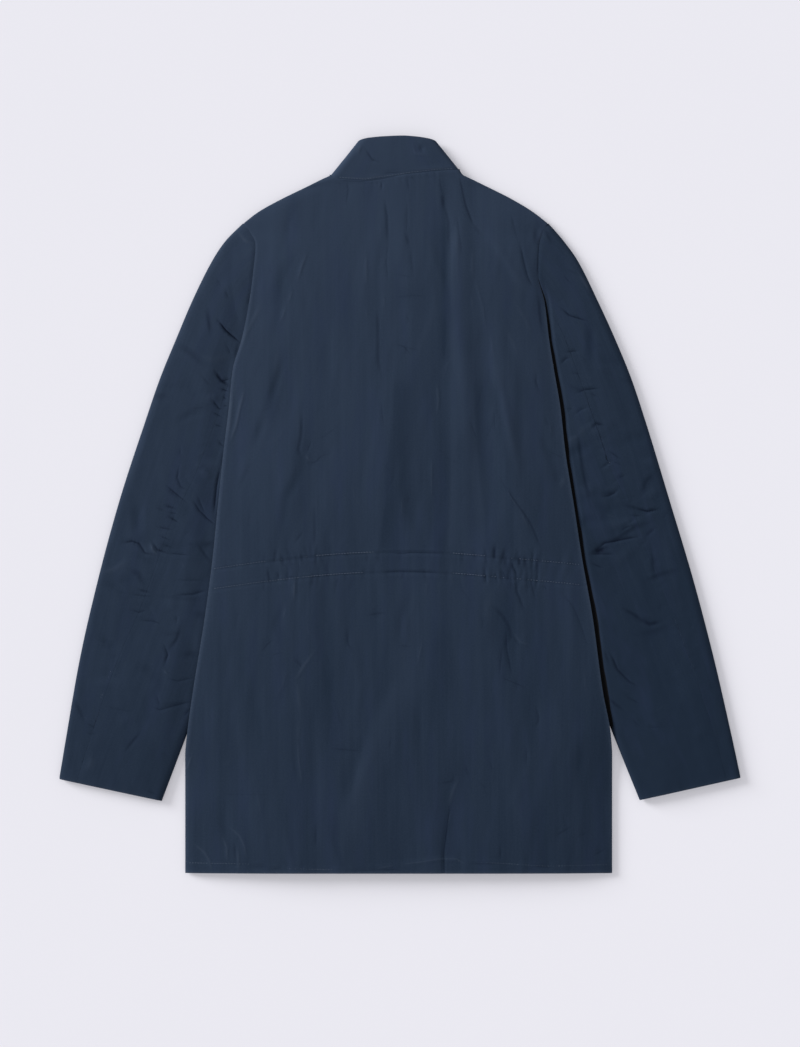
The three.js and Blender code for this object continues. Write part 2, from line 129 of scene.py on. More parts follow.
def follow(rows, key, column, at):
    """One column of a table, read at the given places on a smooth curve that never overshoots."""
    order = np.argsort(rows[key])
    x, y = rows[key][order], rows[column][order]
    step = np.diff(x)
    rise = np.diff(y) / step
    both = rise[:-1] * rise[1:]
    slope = np.concatenate((rise[:1], np.zeros(len(both)), rise[-1:]))
    np.divide(2 * both, rise[:-1] + rise[1:], out=slope[1:-1], where=both > 0)
    k = np.clip(np.searchsorted(x, at, side="right") - 1, 0, len(step) - 1)
    t = np.clip((at - x[k]) / step[k], 0, 1)
    ends = y[k] * (1 + 2 * t) * (1 - t) ** 2 + y[k + 1] * t * t * (3 - 2 * t)
    bends = slope[k] * t * (1 - t) ** 2 - slope[k + 1] * t * t * (1 - t)
    return ends + step[k] * bends


def ripple(x, y, cell_x, cell_y, seed):
    """Smooth uneven heights from -1 to 1, with a random height at each corner of a grid."""
    size = 97
    heights = np.random.default_rng(seed).uniform(-1, 1, (size, size))
    i, j = np.floor(x / cell_x).astype(int), np.floor(y / cell_y).astype(int)
    s, t = smooth(0, 1, x / cell_x - i), smooth(0, 1, y / cell_y - j)
    i, j, after_i, after_j = i % size, j % size, (i + 1) % size, (j + 1) % size
    low = mix(heights[i, j], heights[after_i, j], s)
    high = mix(heights[i, after_j], heights[after_i, after_j], s)
    return mix(low, high, t)


def ripples(x, y, rows):
    """Ripples added up, from rows of height, slant, cell across, cell along and seed."""
    return sum(height * ripple(x + slant * y, y, across, along, seed)
               for height, slant, across, along, seed in rows)


# ---- tables of sizes -----------------------------------------------------------------------
# left and right are distances from the centre line.

BODY_SIDE = table(["y", "left", "right"], [
    [-424, 247, 244], [-290, 247, 244], [-262, 244.5, 242], [-215, 238, 233.2],
    [-130, 224.4, 221.5], [-60, 215.2, 209], [0, 209.2, 199.8], [60, 203, 190.2],
    [110, 196.9, 184.6], [155, 192.3, 177], [190, 182, 171.4], [232, 173.5, 166.3],
    [265, 169, 158.6], [299, 166, 159.5], [323, 180, 170],
])
SHOULDER_LINE = table(["y", "left", "right"], [
    [323, 180, 170], [336, 163, 153], [350, 137.9, 130], [364, 109.3, 102.4],
    [373.2, 90.6, 83.4], [379.2, 79.6, 71.5], [384.5, 79, 68.3],
])
SLEEVE_OUTER = table(["y", "left", "right"], [
    [323, 180.5, 170.5], [302, 201, 188.5], [281, 215, 203.5], [235, 238, 226.5],
    [189, 257.5, 247.5], [145, 275.5, 265.5], [97, 292, 281.5], [5, 322, 309.5], [-87, 347, 337],
    [-179, 368, 361], [-271, 384, 382], [-313, 391, 391],
])
SLEEVE_INNER = table(["y", "left", "right"], [
    [100, 113, 109], [-10, 151, 147], [-105, 187, 185], [-185, 216, 215],
    [-263, 245, 245], [-340, 274, 276],
])
BACK_ARMHOLE = table(["y", "left", "right"], [
    [232, 173.5, 168], [190, 166, 161], [145, 149, 145], [100, 113, 109],
])
FRONT_ARMHOLE = table(["y", "left", "right"], [
    [323, 180.5, 170.5], [299, 167, 158], [265, 149, 142], [232, 137, 130],
    [190, 126, 120], [145, 116, 111], [100, 113, 109],
])
SLEEVE_SEAMS = table(["along", "left", "right", "front"], [
    [0, 0.45, 0.55, 0.15], [0.3, 0.49, 0.58, 0.15], [0.45, 0.57, 0.69, 0.14],
    [0.6, 0.61, 0.74, 0.14], [0.75, 0.7, 0.8, 0.13], [0.9, 0.785, 0.85, 0.12],
    [1, 0.84, 0.87, 0.12],
])
FRONT_NECK = table(["y", "left", "right"], [
    [285, -15, -15], [286.5, 12, 12], [291, 36, 36], [300, 52, 52], [315, 65, 63],
    [350, 75, 71.2], [377, 77, 71.5],
])
BACK_NECK = table(["x", "y"], [
    [-81.5, 378.2], [-77, 375.8], [-40, 372.4], [12, 380.4], [57, 384.4], [68.3, 384.2],
])
WAIST_LINE = table(["x", "y"], [
    [-222, -75], [-197, -71.4], [-160, -66.2], [-80, -57.6], [-30, -54.8], [2, -54], [45, -55],
    [80, -57.6], [152, -64], [185, -67], [222, -71],
])
COLLAR = table(["base_x", "base_y", "base_z", "top_x", "top_y", "top_z"], [
    [-1.5, 286.5, 4.2, -1.5, 331, 4.2], [-20, 288.8, 3.6, -11, 332.5, 3.4],
    [-39, 294, 1.3, -20, 337, 1.2], [-54, 305, 1.0, -27, 346, 1.0],
    [-66, 322, 1.0, -33.5, 361, 1.0], [-74.3, 350, 1.0, -38.5, 385, 1.0],
    [-78.2, 376.4, 1.3, -46, 412.6, 1.3], [-79.6, 377.0, 4.2, -47.3, 416.8, 4.2],
    [-78.2, 375.8, 7.0, -44.6, 419.2, 7.0], [-73, 374.4, 8.3, -36.5, 421.5, 8.3],
    [-40, 371.9, 8.4, -18, 423.2, 8.5], [12, 379.9, 8.4, 4, COLLAR_TOP_Y, 8.5],
    [40, 382.9, 8.4, 17, 423.1, 8.5], [61.5, 384.3, 8.3, 31.5, 421.0, 8.3],
    [66.4, 384.2, 7.0, 38.6, 418.6, 7.0], [67.6, 383.8, 4.2, 40.9, 416.4, 4.2],
    [66.4, 383.0, 1.3, 39.8, 412.0, 1.3], [70.6, 350, 1.0, 38.5, 385, 1.0],
    [64, 320, 1.0, 33.5, 361, 1.0], [54, 305, 1.0, 27, 346, 1.0],
    [39, 294, 1.3, 20, 337, 1.2], [20, 288.8, 3.6, 11, 332.5, 3.4],
    [1.5, 286.5, 4.2, 1.5, 331, 4.2],
])

# The largest folds of the back: start, end, half width and height.
BACK_FOLDS = [
    ((46, 350), (51, 235), 20, -1.0), ((66, 320), (71, 60), 24, 1.2),
    ((94, 200), (100, -28), 26, -1.5), ((118, 110), (138, -25), 22, 1.2),
    ((-4, 150), (-22, -25), 30, 0.8), ((-113, 105), (-131, -25), 24, 0.9),
    ((108, -125), (132, -180), 22, -1.0), ((78, -300), (52, -424), 24, -0.9),
]
FOLD_FADE = 25.0


# ---- creases -------------------------------------------------------------------------------
# A crease is (height, half width, points): a soft ridge, or a trough where the height is below 0,
# along a run of points. Narrow ones have a sharp bottom or crest, with painted shade along the
# bottom and a painted highlight along the crest, from line_looks. The half width may be a pair,
# towards -X and towards +X, for one that runs downwards.

CRISP_BELOW = 7.0
SHARP_DEPTH = 0.72
LEAST_WIDTH = 3.4

# Crisp lines are kept in a few sets, each one an attribute, so that close ones don't mix.
LINE_SETS = 4
LINE_REACH = 3.0
# How much painted shade a sharp trough gets, and how much painted highlight a sharp ridge gets, for each
# millimetre of its height.
LINE_PAINTED_SHADE = 0.36
FAR_FROM_LINE = 9.0

BACK_CREASES = [
    # neck and shoulder blades, troughs
    (-0.6, 1.6, [(-61, 372), (-60, 360), (-62, 345)]), (-0.8, 1.6, [(-21, 371), (-21, 361)]),
    (-0.8, 3.0, [(-18, 350), (-15, 330), (-14, 300)]), (-0.5, 1.6, [(-14, 300), (-16, 280), (-14, 256)]),
    (-0.7, 3.0, [(-26, 221), (-25, 200), (-25, 165), (-22, 148)]),
    (-0.6, 1.6, [(46, 380), (46, 368), (49, 355)]), (-1.0, 3.4, [(49, 358), (50, 340)]),
    (-0.6, 2.6, [(52, 342), (56, 325), (56, 295)]),
    (-1.0, 2.0, [(68, 378), (72, 358), (75, 345), (84, 321)]), (-0.4, 3.0, [(84, 321), (93, 309)]),
    (-0.5, 1.4, [(8, 378), (10, 361)]), (-0.5, 1.4, [(13, 378), (16, 373)]),
    (-0.5, 1.2, [(8, 345), (8, 325), (7, 312)]), (-0.6, 3.2, [(6, 312), (11, 296)]),
    (-0.4, 3.0, [(12, 292), (15, 262)]), (-0.4, 1.6, [(65, 332), (68, 310), (71, 288)]),
    (-0.5, 2.0, [(127, 334), (131, 318), (135, 302)]),
    (-1.1, 1.8, [(138, 297), (143, 275), (147, 260), (153, 249)]),
    (-0.8, 4.5, [(155, 316), (157, 296)]), (-1.2, 1.3, [(159.5, 298), (158, 280), (157.5, 263)]),
    (-0.8, 3.6, [(160, 242), (161, 222), (164, 198)]),
    (-0.4, 1.2, [(-3, 264), (15, 261)]), (-0.4, 1.2, [(-4, 238), (15, 240), (28, 239)]),
    (-0.5, 1.2, [(8, 216), (11, 209)]), (-0.7, 1.5, [(-5, 184), (5, 181), (13, 171)]),
    (-0.5, 1.2, [(5, 181), (20, 177)]), (-0.3, 1.4, [(-151, 271), (-146, 265)]),
    (-0.8, 1.2, [(-68, 372.2), (-45, 371), (-25, 373.5), (-5, 376.5)]),
    # neck and shoulder blades, ridges
    (1.0, 1.3, [(-167, 298), (-168, 285), (-170, 268)]), (0.7, 1.3, [(-171.5, 243), (-172.5, 230)]),
    (0.9, 2.6, [(-176, 303), (-166, 299)]), (0.8, 1.0, [(-107, 289), (-112, 276), (-118, 258)]),
    (0.8, 1.0, [(-124, 245), (-128, 233)]), (0.9, 1.0, [(-131, 226), (-137, 212)]),
    (0.6, 3.4, [(-159, 230), (-170, 210), (-179, 193), (-184, 178)]),
    (0.7, 1.5, [(-39, 287), (-39, 253)]), (0.4, 1.2, [(-39, 224), (-38, 215)]),
    (0.5, 1.3, [(-19, 239), (-18, 225)]),
    (0.5, 8.0, [(95, 316), (108, 300), (122, 280), (135, 258), (151, 239)]),
    (0.3, 3.0, [(64, 325), (66, 290), (66, 250)]), (0.4, 2.0, [(83, 292), (83, 260)]),
    (0.4, 2.0, [(82, 238), (84, 225)]), (0.4, 1.5, [(87, 256), (95, 225), (99, 198)]),
    (0.4, 2.0, [(104, 196), (107, 170)]), (0.35, 3.0, [(121, 202), (130, 185), (136, 170)]),
    (0.3, 3.0, [(131, 234), (145, 210), (151, 194)]),
    # between the blades and the waist
    (1.1, 3.2, [(-194, 128), (-196, 100), (-198, 76)]),
    (1.1, 1.8, [(-179, 131), (-184, 112), (-188, 92), (-195, 74)]),
    (-0.8, 8.0, [(-134, 165), (-147, 125), (-151, 110)]), (-0.6, 8.0, [(-156, 100), (-167, 68)]),
    (-0.3, 4.5, [(-170, 50), (-186, 18)]), (-0.8, 3.0, [(-113, 104), (-113, 80), (-117, 62), (-113, 50)]),
    (-0.7, 9.0, [(-112, 45), (-120, 25), (-131, 8), (-137, -45)]), (0.9, 1.5, [(-108, 56), (-104, 50)]),
    (-0.7, 1.2, [(-107, 60), (-102, 73)]), (-0.6, 1.5, [(-106, 49), (-98, 48), (-90, 56), (-81, 58)]),
    (-0.3, 1.5, [(-97, 75), (-87, 78), (-72, 90)]), (-0.7, 2.0, [(-112, -31), (-120, -43)]),
    (-0.5, 2.6, [(-98, -3), (-98, -48)]), (-0.5, 1.2, [(-22, 116), (-20, 100), (-19, 90)]),
    (0.8, 1.8, [(42, 138), (44, 120), (42, 104)]), (0.7, 1.2, [(36, 52), (36, 8)]),
    (0.6, 1.0, [(2, 6), (2, -12)]), (-0.5, 1.2, [(10, 9), (9, 1)]),
    (-0.5, 1.3, [(80, 96), (85, 83), (88, 74)]), (-0.6, 1.2, [(108, 106), (109, 84)]),
    (0.6, 8.5, [(105, 172), (118, 120), (126, 84), (135, 42)]),
    (0.9, 1.1, [(120, 23), (126, 10), (133, -1)]),
    (-0.8, 2.0, [(117, 26), (128, 9), (140, -7), (150, -22), (161, -48)]),
    (0.6, 1.5, [(138, -8), (147, -27)]), (-0.7, 2.0, [(157, 153), (156, 140), (161, 127)]),
    (-0.4, 2.0, [(166, 101), (172, 86)]), (0.6, 1.2, [(171, 91), (174, 82)]),
    (-0.6, 8.0, [(163, 86), (168, 65), (178, 44)]), (-0.6, 8.0, [(179, 38), (185, 24)]),
    (0.6, 4.0, [(189, 33), (185, 20)]), (-0.4, 1.0, [(169, 62), (182, 56), (189, 53)]),
    # waist and seat
    (-0.8, 1.1, [(-8, -55.5), (4, -56.5), (12, -55), (48, -56)]),
    (-1.0, 1.1, [(-18, -77.5), (0, -76.5), (44, -78)]),
    (-0.5, 1.2, [(-117, -60), (-116, -76)]), (-0.9, 1.3, [(-140, -77), (-139, -87)]),
    (-0.8, 1.3, [(-128, -83), (-121, -83)]), (1.1, 1.5, [(-121, -87), (-122, -109)]),
    (0.9, 1.0, [(-131, -119), (-134, -130)]), (-0.6, 9.0, [(-131, -110), (-141, -140), (-131, -156)]),
    (-0.7, 1.2, [(-145, -155), (-152, -160), (-159, -169)]), (-0.5, 1.2, [(-135, -170), (-148, -173)]),
    (-0.7, 2.0, [(-38, -127), (-16, -124)]), (-0.7, 2.0, [(-61, -143), (-60, -160), (-54, -169)]),
    (-0.6, 3.0, [(-121, -177), (-112, -187)]), (0.8, 2.4, [(-99, -169), (-112, -187), (-120, -201)]),
    (0.5, 3.4, [(-118, -205), (-115, -238)]), (-0.7, 1.0, [(-1, -162), (12, -163)]),
    (0.4, 1.0, [(30, -88), (30, -106)]), (0.7, 1.0, [(25, -158), (20, -182)]),
    (-1.1, 1.5, [(128, -67), (134, -82)]), (-0.9, 1.3, [(97, -79), (99, -91)]),
    (-0.9, 2.5, [(133, -84), (134, -100), (138, -110), (143, -124)]),
    (-0.8, 2.0, [(150, -84), (152, -95), (155, -109)]), (-0.9, 1.3, [(118, -76), (121, -85)]),
    (-0.9, 1.6, [(109, -77), (112, -92)]),
    (-0.8, 3.8, [(106, -117), (118, -128), (125, -140), (128, -150), (121, -161)]),
    (-0.8, 1.8, [(122, -141), (122, -165), (125, -180), (128, -196)]),
    (-0.6, 1.5, [(117, -164), (115, -185), (114, -196)]), (-0.5, 2.0, [(128, -150), (138, -164)]),
    (0.5, 2.0, [(130, -147), (138, -158), (151, -161)]), (-0.5, 1.2, [(95, -132), (94, -143)]),
    (-0.8, 1.2, [(117, -199), (132, -205), (145, -211)]),
    (-0.5, 1.6, [(189, -104), (200, -120), (208, -140), (215, -162)]),
    (-0.6, 1.0, [(166, -92), (168, -99)]), (-0.7, 2.0, [(156, -234), (160, -247), (154, -256)]),
    # skirt and hem
    (0.4, 3.0, [(-116, -250), (-118, -272)]), (0.6, 1.5, [(-118, -272), (-116, -298), (-113, -320)]),
    (-0.8, 1.2, [(-78, -280), (-60, -282), (-44, -283)]),
    (0.5, 14, [(-2, -215), (-25, -252), (-46, -317), (-60, -352), (-55, -412)]),
    (0.8, 2.0, [(-237, -390), (-225, -400), (-219, -410), (-216, -423)]),
    (0.8, 2.0, [(-196, -371), (-185, -380), (-179, -392), (-177, -405)]),
    (0.8, 1.5, [(-204, -383), (-199, -395), (-199, -410)]), (0.7, 2.6, [(-187, -396), (-185, -423)]),
    (-0.6, 2.0, [(-191, -388), (-188, -412)]), (1.4, 1.4, [(-245, -304), (-240, -289)]),
    (-0.5, 1.5, [(-10, -268), (-13, -282)]), (-0.6, 2.0, [(-97, -368), (-97, -392)]),
    (-0.3, 1.5, [(-205, -333), (-150, -333)]), (-0.8, 1.2, [(145, -279), (145, -300)]),
    (-0.6, 1.5, [(104, -296), (106, -306)]), (-0.6, 2.0, [(60, -307), (62, -318), (44, -320)]),
    (-0.5, 3.0, [(75, -299), (78, -312)]), (0.7, 3.0, [(67, -314), (60, -330), (56, -346)]),
    (0.8, 1.0, [(58, -354), (54, -371)]),
    (-1.2, 1.1, [(57, -348), (54, -370), (52, -385), (50, -400), (51, -430)]),
    (-0.7, 1.5, [(115, -392), (115, -409)]), (-0.6, 2.0, [(178, -381), (190, -374), (198, -369)]),
    (-0.4, 2.0, [(204, -382), (216, -376)]), (-0.7, 1.5, [(224, -403), (236, -396)]),
    (-0.5, 2.0, [(92, -319), (98, -326)]),
    (-0.8, 1.0, [(-205, -412), (-180, -414), (-155, -417), (-130, -420)]),
    (-0.7, 1.0, [(-60, -421), (0, -419)]), (0.7, 1.0, [(-26, -418), (-6, -414)]),
    (0.9, 1.0, [(3, -413), (20, -411), (45, -407), (65, -407), (73, -412)]),
    (-0.6, 1.0, [(80, -412.5), (118, -412.5)]), (-1.0, 1.0, [(154, -415), (176, -417)]),
]
SLEEVE_CREASES = {
    "left": [
        (0.9, 2.6, [(-187, 314), (-178, 303), (-170, 300)]), (-0.4, 1.2, [(-211, 259), (-205, 250)]),
        (-0.6, 2.0, [(-201, 246), (-197, 236)]), (-0.7, 4.5, [(-221, 224), (-219, 210), (-217, 195)]),
        (-2.2, 1.8, [(-209, 211), (-200, 200), (-184, 186)]), (-0.8, 2.6, [(-186, 184), (-190, 168)]),
        (-0.6, 1.2, [(-200, 184), (-194, 171)]), (-1.8, 3.2, [(-213, 153), (-206, 143), (-196, 136)]),
        (-1.2, 1.2, [(-204, 142), (-195, 145)]), (-1.3, 1.2, [(-206, 133), (-197, 130)]),
        (-1.0, 1.2, [(-204, 124), (-199, 121)]), (-1.3, 1.6, [(-216, 120), (-208, 110), (-203, 110)]),
        (-0.9, 1.3, [(-215, 106), (-204, 100)]), (-0.8, 1.2, [(-203, 114), (-198, 113)]),
        (-0.4, 2.4, [(-228, 148), (-218, 136)]), (-0.4, 1.2, [(-239, 110), (-224, 112)]),
        (-0.8, 1.5, [(-213, 92), (-204, 89)]), (-0.9, 1.8, [(-209, 73), (-202, 65)]),
        (-0.9, 2.0, [(-204, 62), (-206, 42)]), (-1.9, 1.8, [(-207, 43), (-211, 20), (-214, -9)]),
        (-0.8, 1.8, [(-254, 43), (-256, 30), (-252, 20), (-244, 17)]),
        (-0.4, 1.2, [(-253, 65), (-252, 56)]), (-1.1, 1.4, [(-269, 22), (-256, 11), (-245, 2)]),
        (-1.4, 1.5, [(-237, 3), (-231, -7), (-222, -16), (-212, -24)]),
        (-0.8, 1.4, [(-233, 10), (-229, 0), (-224, -11)]), (-1.0, 2.0, [(-270, -1), (-257, -5)]),
        (-0.8, 1.4, [(-265, -9), (-256, -11)]), (-1.2, 1.6, [(-266, -14), (-254, -21)]),
        (-0.5, 3.0, [(-280, -2), (-271, -8)]), (-0.8, 1.5, [(-278, -26), (-261, -29)]),
        (-0.8, 1.5, [(-276, -36), (-264, -41)]), (-0.7, 1.3, [(-272, -46), (-261, -50)]),
        (-1.4, 1.8, [(-319, -44), (-308, -42), (-300, -45), (-293, -56), (-285, -57)]),
        (-0.9, 11, [(-303, 5), (-300, -42)]), (1.2, 1.4, [(-287, -45), (-284, -53), (-279, -58)]),
        (-1.2, 2.0, [(-285, -43), (-279, -52), (-267, -56)]), (-1.0, 1.3, [(-267, -56), (-242, -58)]),
        (-0.6, 3.0, [(-233, -44), (-224, -58), (-215, -69)]),
        (-0.6, 6.0, [(-312, -74), (-300, -80), (-291, -96)]),
        (-1.0, 2.0, [(-257, -104), (-238, -103), (-221, -98)]), (-0.4, 2.0, [(-258, -87), (-224, -87)]),
        (-0.9, 2.4, [(-300, -98), (-287, -101)]), (-0.6, 1.3, [(-309, -103), (-285, -106)]),
        (-0.8, 1.5, [(-309, -121), (-300, -124), (-291, -121)]),
        (-0.8, 1.4, [(-298, -133), (-284, -134), (-273, -138)]), (-0.6, 1.3, [(-257, -127), (-257, -137)]),
        (-0.7, 4.5, [(-252, -141), (-256, -155), (-265, -167)]),
        (-1.2, 1.6, [(-271, -162), (-267, -173), (-271, -185)]), (0.8, 1.2, [(-272, -190), (-267, -196)]),
        (-0.7, 8.0, [(-345, -154), (-325, -168)]), (-0.7, 1.2, [(-266, -200), (-255, -203), (-237, -199)]),
        (-0.6, 1.2, [(-280, -219), (-276, -232)]), (-0.9, 1.4, [(-248, -243), (-241, -234)]),
        (-0.8, 1.6, [(-284, -233), (-276, -236), (-262, -232), (-239, -226)]),
        (-0.3, 1.2, [(-338, -233), (-308, -238)]), (-0.6, 3.4, [(-298, -262), (-307, -273), (-316, -284)]),
        (-0.5, 4.5, [(-375, -224), (-366, -240), (-362, -251)]), (-0.5, 2.0, [(-359, -252), (-350, -257)]),
        (-0.5, 1.5, [(-359, -263), (-349, -264)]), (-0.5, 1.5, [(-291, -329), (-281, -333)]),
        # soft smudges under the elbow
        (-0.4, 5, [(-318, -41), (-292, -50), (-264, -55)]), (-0.35, 5, [(-268, 18), (-254, 8)]),
        (-0.3, 6.5, [(-264, 0), (-256, -27)]), (-0.35, 5, [(-240, 9), (-214, -22)]),
        (-0.3, 4.5, [(-278, -106), (-225, -110)]), (-0.3, 6, [(-292, -112), (-281, -134)]),
        (-0.25, 5, [(-279, -230), (-246, -230)]), (-0.3, 5, [(-214, 150), (-203, 140)]),
    ],
    "right": [
        (-0.5, 4.0, [(165, 319), (171, 308), (176, 300)]), (-0.4, 1.3, [(189, 262), (198, 253)]),
        (-0.3, 1.3, [(193, 270), (205, 264)]), (0.7, 3.0, [(206, 265), (213, 254), (218, 245)]),
        (-1.0, 1.5, [(186, 225), (195, 217), (205, 214), (215, 211)]),
        (-0.8, 1.3, [(185, 162), (191, 168), (196, 169)]), (-0.6, 1.2, [(189, 175), (206, 177)]),
        (-0.4, 1.2, [(197, 151), (208, 150)]), (-0.8, 1.3, [(202, 128), (212, 132), (230, 134)]),
        (-0.4, 1.2, [(220, 127), (227, 124)]), (-0.5, 9.0, [(219, 212), (220, 155)]),
        (-0.3, 1.3, [(189, 110), (200, 110)]), (-0.6, 1.3, [(201, 104), (208, 109), (215, 112)]),
        (-0.8, 3.0, [(219, 87), (226, 93), (235, 91)]),
        (-0.6, 4.5, [(205, 82), (208, 60), (210, 45), (214, 24), (219, 6)]),
        (-0.7, 1.3, [(241, 61), (248, 56), (254, 52)]), (-0.6, 2.0, [(231, 42), (240, 48), (244, 50)]),
        (-0.4, 1.3, [(244, 50), (257, 44)]), (-0.5, 1.6, [(252, 31), (259, 34)]),
        (-1.2, 1.4, [(233, 9), (240, 10), (246, 13), (250, 17)]), (-0.5, 3.8, [(258, -1), (274, -5)]),
        (-1.2, 2.0, [(270, -4), (277, -6), (284, -8), (299, -5)]), (-0.6, 1.5, [(266, -13), (277, -13)]),
        (-0.8, 1.5, [(253, -31), (260, -26), (267, -24)]),
        (-1.4, 1.7, [(226, -51), (236, -44), (248, -42), (262, -39), (273, -37)]),
        (-0.6, 2.4, [(282, -37), (293, -27)]), (-1.8, 5.5, [(223, -55), (237, -51)]),
        (-1.0, 1.4, [(218, -57), (247, -57)]), (-0.8, 1.3, [(221, -68), (228, -71), (234, -73)]),
        (-0.5, 6.0, [(290, -54), (294, -86)]), (-0.7, 3.2, [(257, -120), (270, -127), (279, -134)]),
        (-1.0, 3.6, [(279, -134), (288, -138), (300, -135)]),
        (-1.0, 2.0, [(241, -171), (246, -180), (250, -190), (258, -198), (264, -204), (273, -209)]),
        (-0.5, 2.4, [(235, -168), (241, -183)]), (-0.7, 3.0, [(240, -222), (248, -230), (259, -238)]),
        (-0.6, 1.2, [(261, -221), (270, -226), (277, -230)]), (-0.4, 1.2, [(267, -247), (277, -256)]),
        (-0.3, 1.2, [(281, -256), (303, -256)]), (-0.5, 5.0, [(243, -246), (247, -264)]),
        (-0.4, 14, [(314, -196), (322, -216)]),
        # soft smudges under the elbow
        (-0.55, 5.0, [(238, -48), (256, -36), (272, -26), (290, -20)]),
        (-0.45, 4.0, [(246, -30), (262, -22), (278, -12)]), (-0.5, 5, [(264, -5), (282, -10), (297, -5)]),
        (-0.35, 6, [(262, -124), (277, -133), (294, -135)]), (-0.35, 4, [(231, 12), (247, 14)]),
        (-0.3, 5, [(196, 136), (214, 128)]), (-0.3, 6, [(246, -180), (262, -200)]),
    ],
}
SLEEVE_DEPTH = {"left": 1.12, "right": 1.4}
COLLAR_CREASES = [
    (0.9, 2.0, [(-46, 413), (-48, 401)]), (-0.9, 2.0, [(-40, 408), (-32, 396), (-24, 394)]),
    (-0.9, 7.0, [(21, 410), (29, 408)]), (0.5, 2.0, [(14, 414), (18, 403), (32, 401)]),
    (1.0, 1.2, [(-61, 376), (-38, 375), (-18, 378.5)]), (-0.8, 1.0, [(-20, 380.5), (3, 382.2)]),
    (0.8, 1.0, [(15, 385), (45, 386.5), (58, 388.5)]),
]


def to_run(x, y, points):
    """Distance to a run of points, above 0 on its right hand, distance along it and its length."""
    away, along, run = np.full(x.shape, np.inf), np.zeros(x.shape), 0.0
    for (ax, ay), (bx, by) in zip(points[:-1], points[1:]):
        dx, dy = bx - ax, by - ay
        length = math.hypot(dx, dy)
        t = np.clip(((x - ax) * dx + (y - ay) * dy) / length ** 2, 0, 1)
        gap = np.hypot(x - ax - t * dx, y - ay - t * dy)
        side = np.where((x - ax) * dy > (y - ay) * dx, 1, -1)
        closer = gap < np.abs(away)
        away = np.where(closer, gap * side, away)
        along = np.where(closer, run + t * length, along)
        run += length
    return away, along, run


def close_to(x, y, points, reach):
    """Which of the places lie in a run's box, grown by reach."""
    low, high = np.min(points, 0) - reach, np.max(points, 0) + reach
    return np.flatnonzero((x > low[0]) & (x < high[0]) & (y > low[1]) & (y < high[1]))


def lay_creases(x, y, creases):
    """Height of all the creases at each point."""
    lift = np.zeros_like(x)
    for height, half_width, points in creases:
        wide = np.broadcast_to(np.maximum(half_width, LEAST_WIDTH), 2)
        near = close_to(x, y, points, wide.max())
        away, along, run = to_run(x[near], y[near], points)
        fade = min(0.4 * run, 4 * wide.min())
        ends = 0.25 + 0.75 * smooth(0, fade, along) * smooth(0, fade, run - along)
        inside = np.clip(1 - np.abs(away) / np.where(away > 0, wide[0], wide[1]), 0, 1)
        sharp = wide.max() < CRISP_BELOW
        shape = SHARP_DEPTH * inside ** 2 if sharp else smooth(0, 1, inside)
        lift[near] += height * ends * shape
    return lift


def deeper(creases, times):
    return [(height * times, half_width, points) for height, half_width, points in creases]


def distances_along(points):
    """How far along a run each of its points lies."""
    return np.concatenate(([0], np.cumsum(np.hypot(*np.diff(points[:, :2], axis=0).T))))


def spaced(points, step=2.5):
    """Points evenly spaced along a run."""
    points = np.array(points, float)
    marks = distances_along(points)
    at = np.linspace(0, marks[-1], int(marks[-1] / step) + 2)
    return np.stack([np.interp(at, marks, points[:, k]) for k in (0, 1)], 1)


def share_out(creases):
    """The sharp creases in sets, so that none comes close to another of its own set."""
    sets = [[] for _ in range(LINE_SETS)]
    for crease in creases:
        if np.max(crease[1]) >= CRISP_BELOW:
            continue
        path = spaced(crease[2])
        for group in sets:
            gaps = (np.hypot(*(path[:, None] - other[None]).transpose(2, 0, 1)).min()
                    - crease[1] - width for _, other, width in group)
            if all(gap > 4 * LINE_REACH for gap in gaps):
                group.append((crease, path, crease[1]))
                break
    return [[crease for crease, _, _ in group] for group in sets]


def line_looks(x, y, creases):
    """For each set, how many half widths each point is from the nearest sharp crease, and how much
    painted shade its bottom has there, or how much painted highlight its crest has where this is below 0."""
    looks = {}
    for number, group in enumerate(share_out(creases)):
        beside, dark = np.full_like(x, FAR_FROM_LINE), np.zeros_like(x)
        for height, half_width, points in group:
            near = close_to(x, y, points, half_width + 2 * LINE_REACH)
            away, along, run = to_run(x[near], y[near], points)
            fade = min(0.35 * run, 3 * half_width + 4)
            ends = 0.2 + 0.8 * smooth(0, fade, along) * smooth(0, fade, run - along)
            beside[near] = away / half_width
            past = (along <= 0) | (along >= run)
            kept = (np.abs(away) < half_width + LINE_REACH) & ~(past & (np.abs(away) > LINE_REACH))
            dark[near] = np.where(kept, -LINE_PAINTED_SHADE * height * ends, 0)
        looks[f"line_{number}"] = beside
        looks[f"dark_{number}"] = dark
    return looks


def puckers(seed, path, pitch, reach, height, half_width, turn):
    """Short creases square to a seam, uneven in length, depth and spacing, as sewing leaves them."""
    chance = np.random.default_rng(seed)
    path = np.array(path, float)
    marks = distances_along(path)
    made, at = [], pitch * 0.5
    while at < marks[-1]:
        k = min(np.searchsorted(marks, at) - 1, len(path) - 2)
        share = (at - marks[k]) / (marks[k + 1] - marks[k])
        centre = mix(path[k], path[k + 1], share)
        heading = math.atan2(*(path[k + 1] - path[k])[::-1])
        heading += math.pi / 2 + chance.uniform(-turn, turn)
        step = np.array([math.cos(heading), math.sin(heading)])
        before, after = chance.uniform(0.3, 1.2, 2) * reach
        deep = height * chance.uniform(0.35, 1.3)
        wide = half_width * chance.uniform(0.8, 1.4)
        made.append((deep, wide, [tuple(centre - before * step), tuple(centre + after * step)]))
        at += pitch * chance.uniform(0.55, 1.6)
    return made


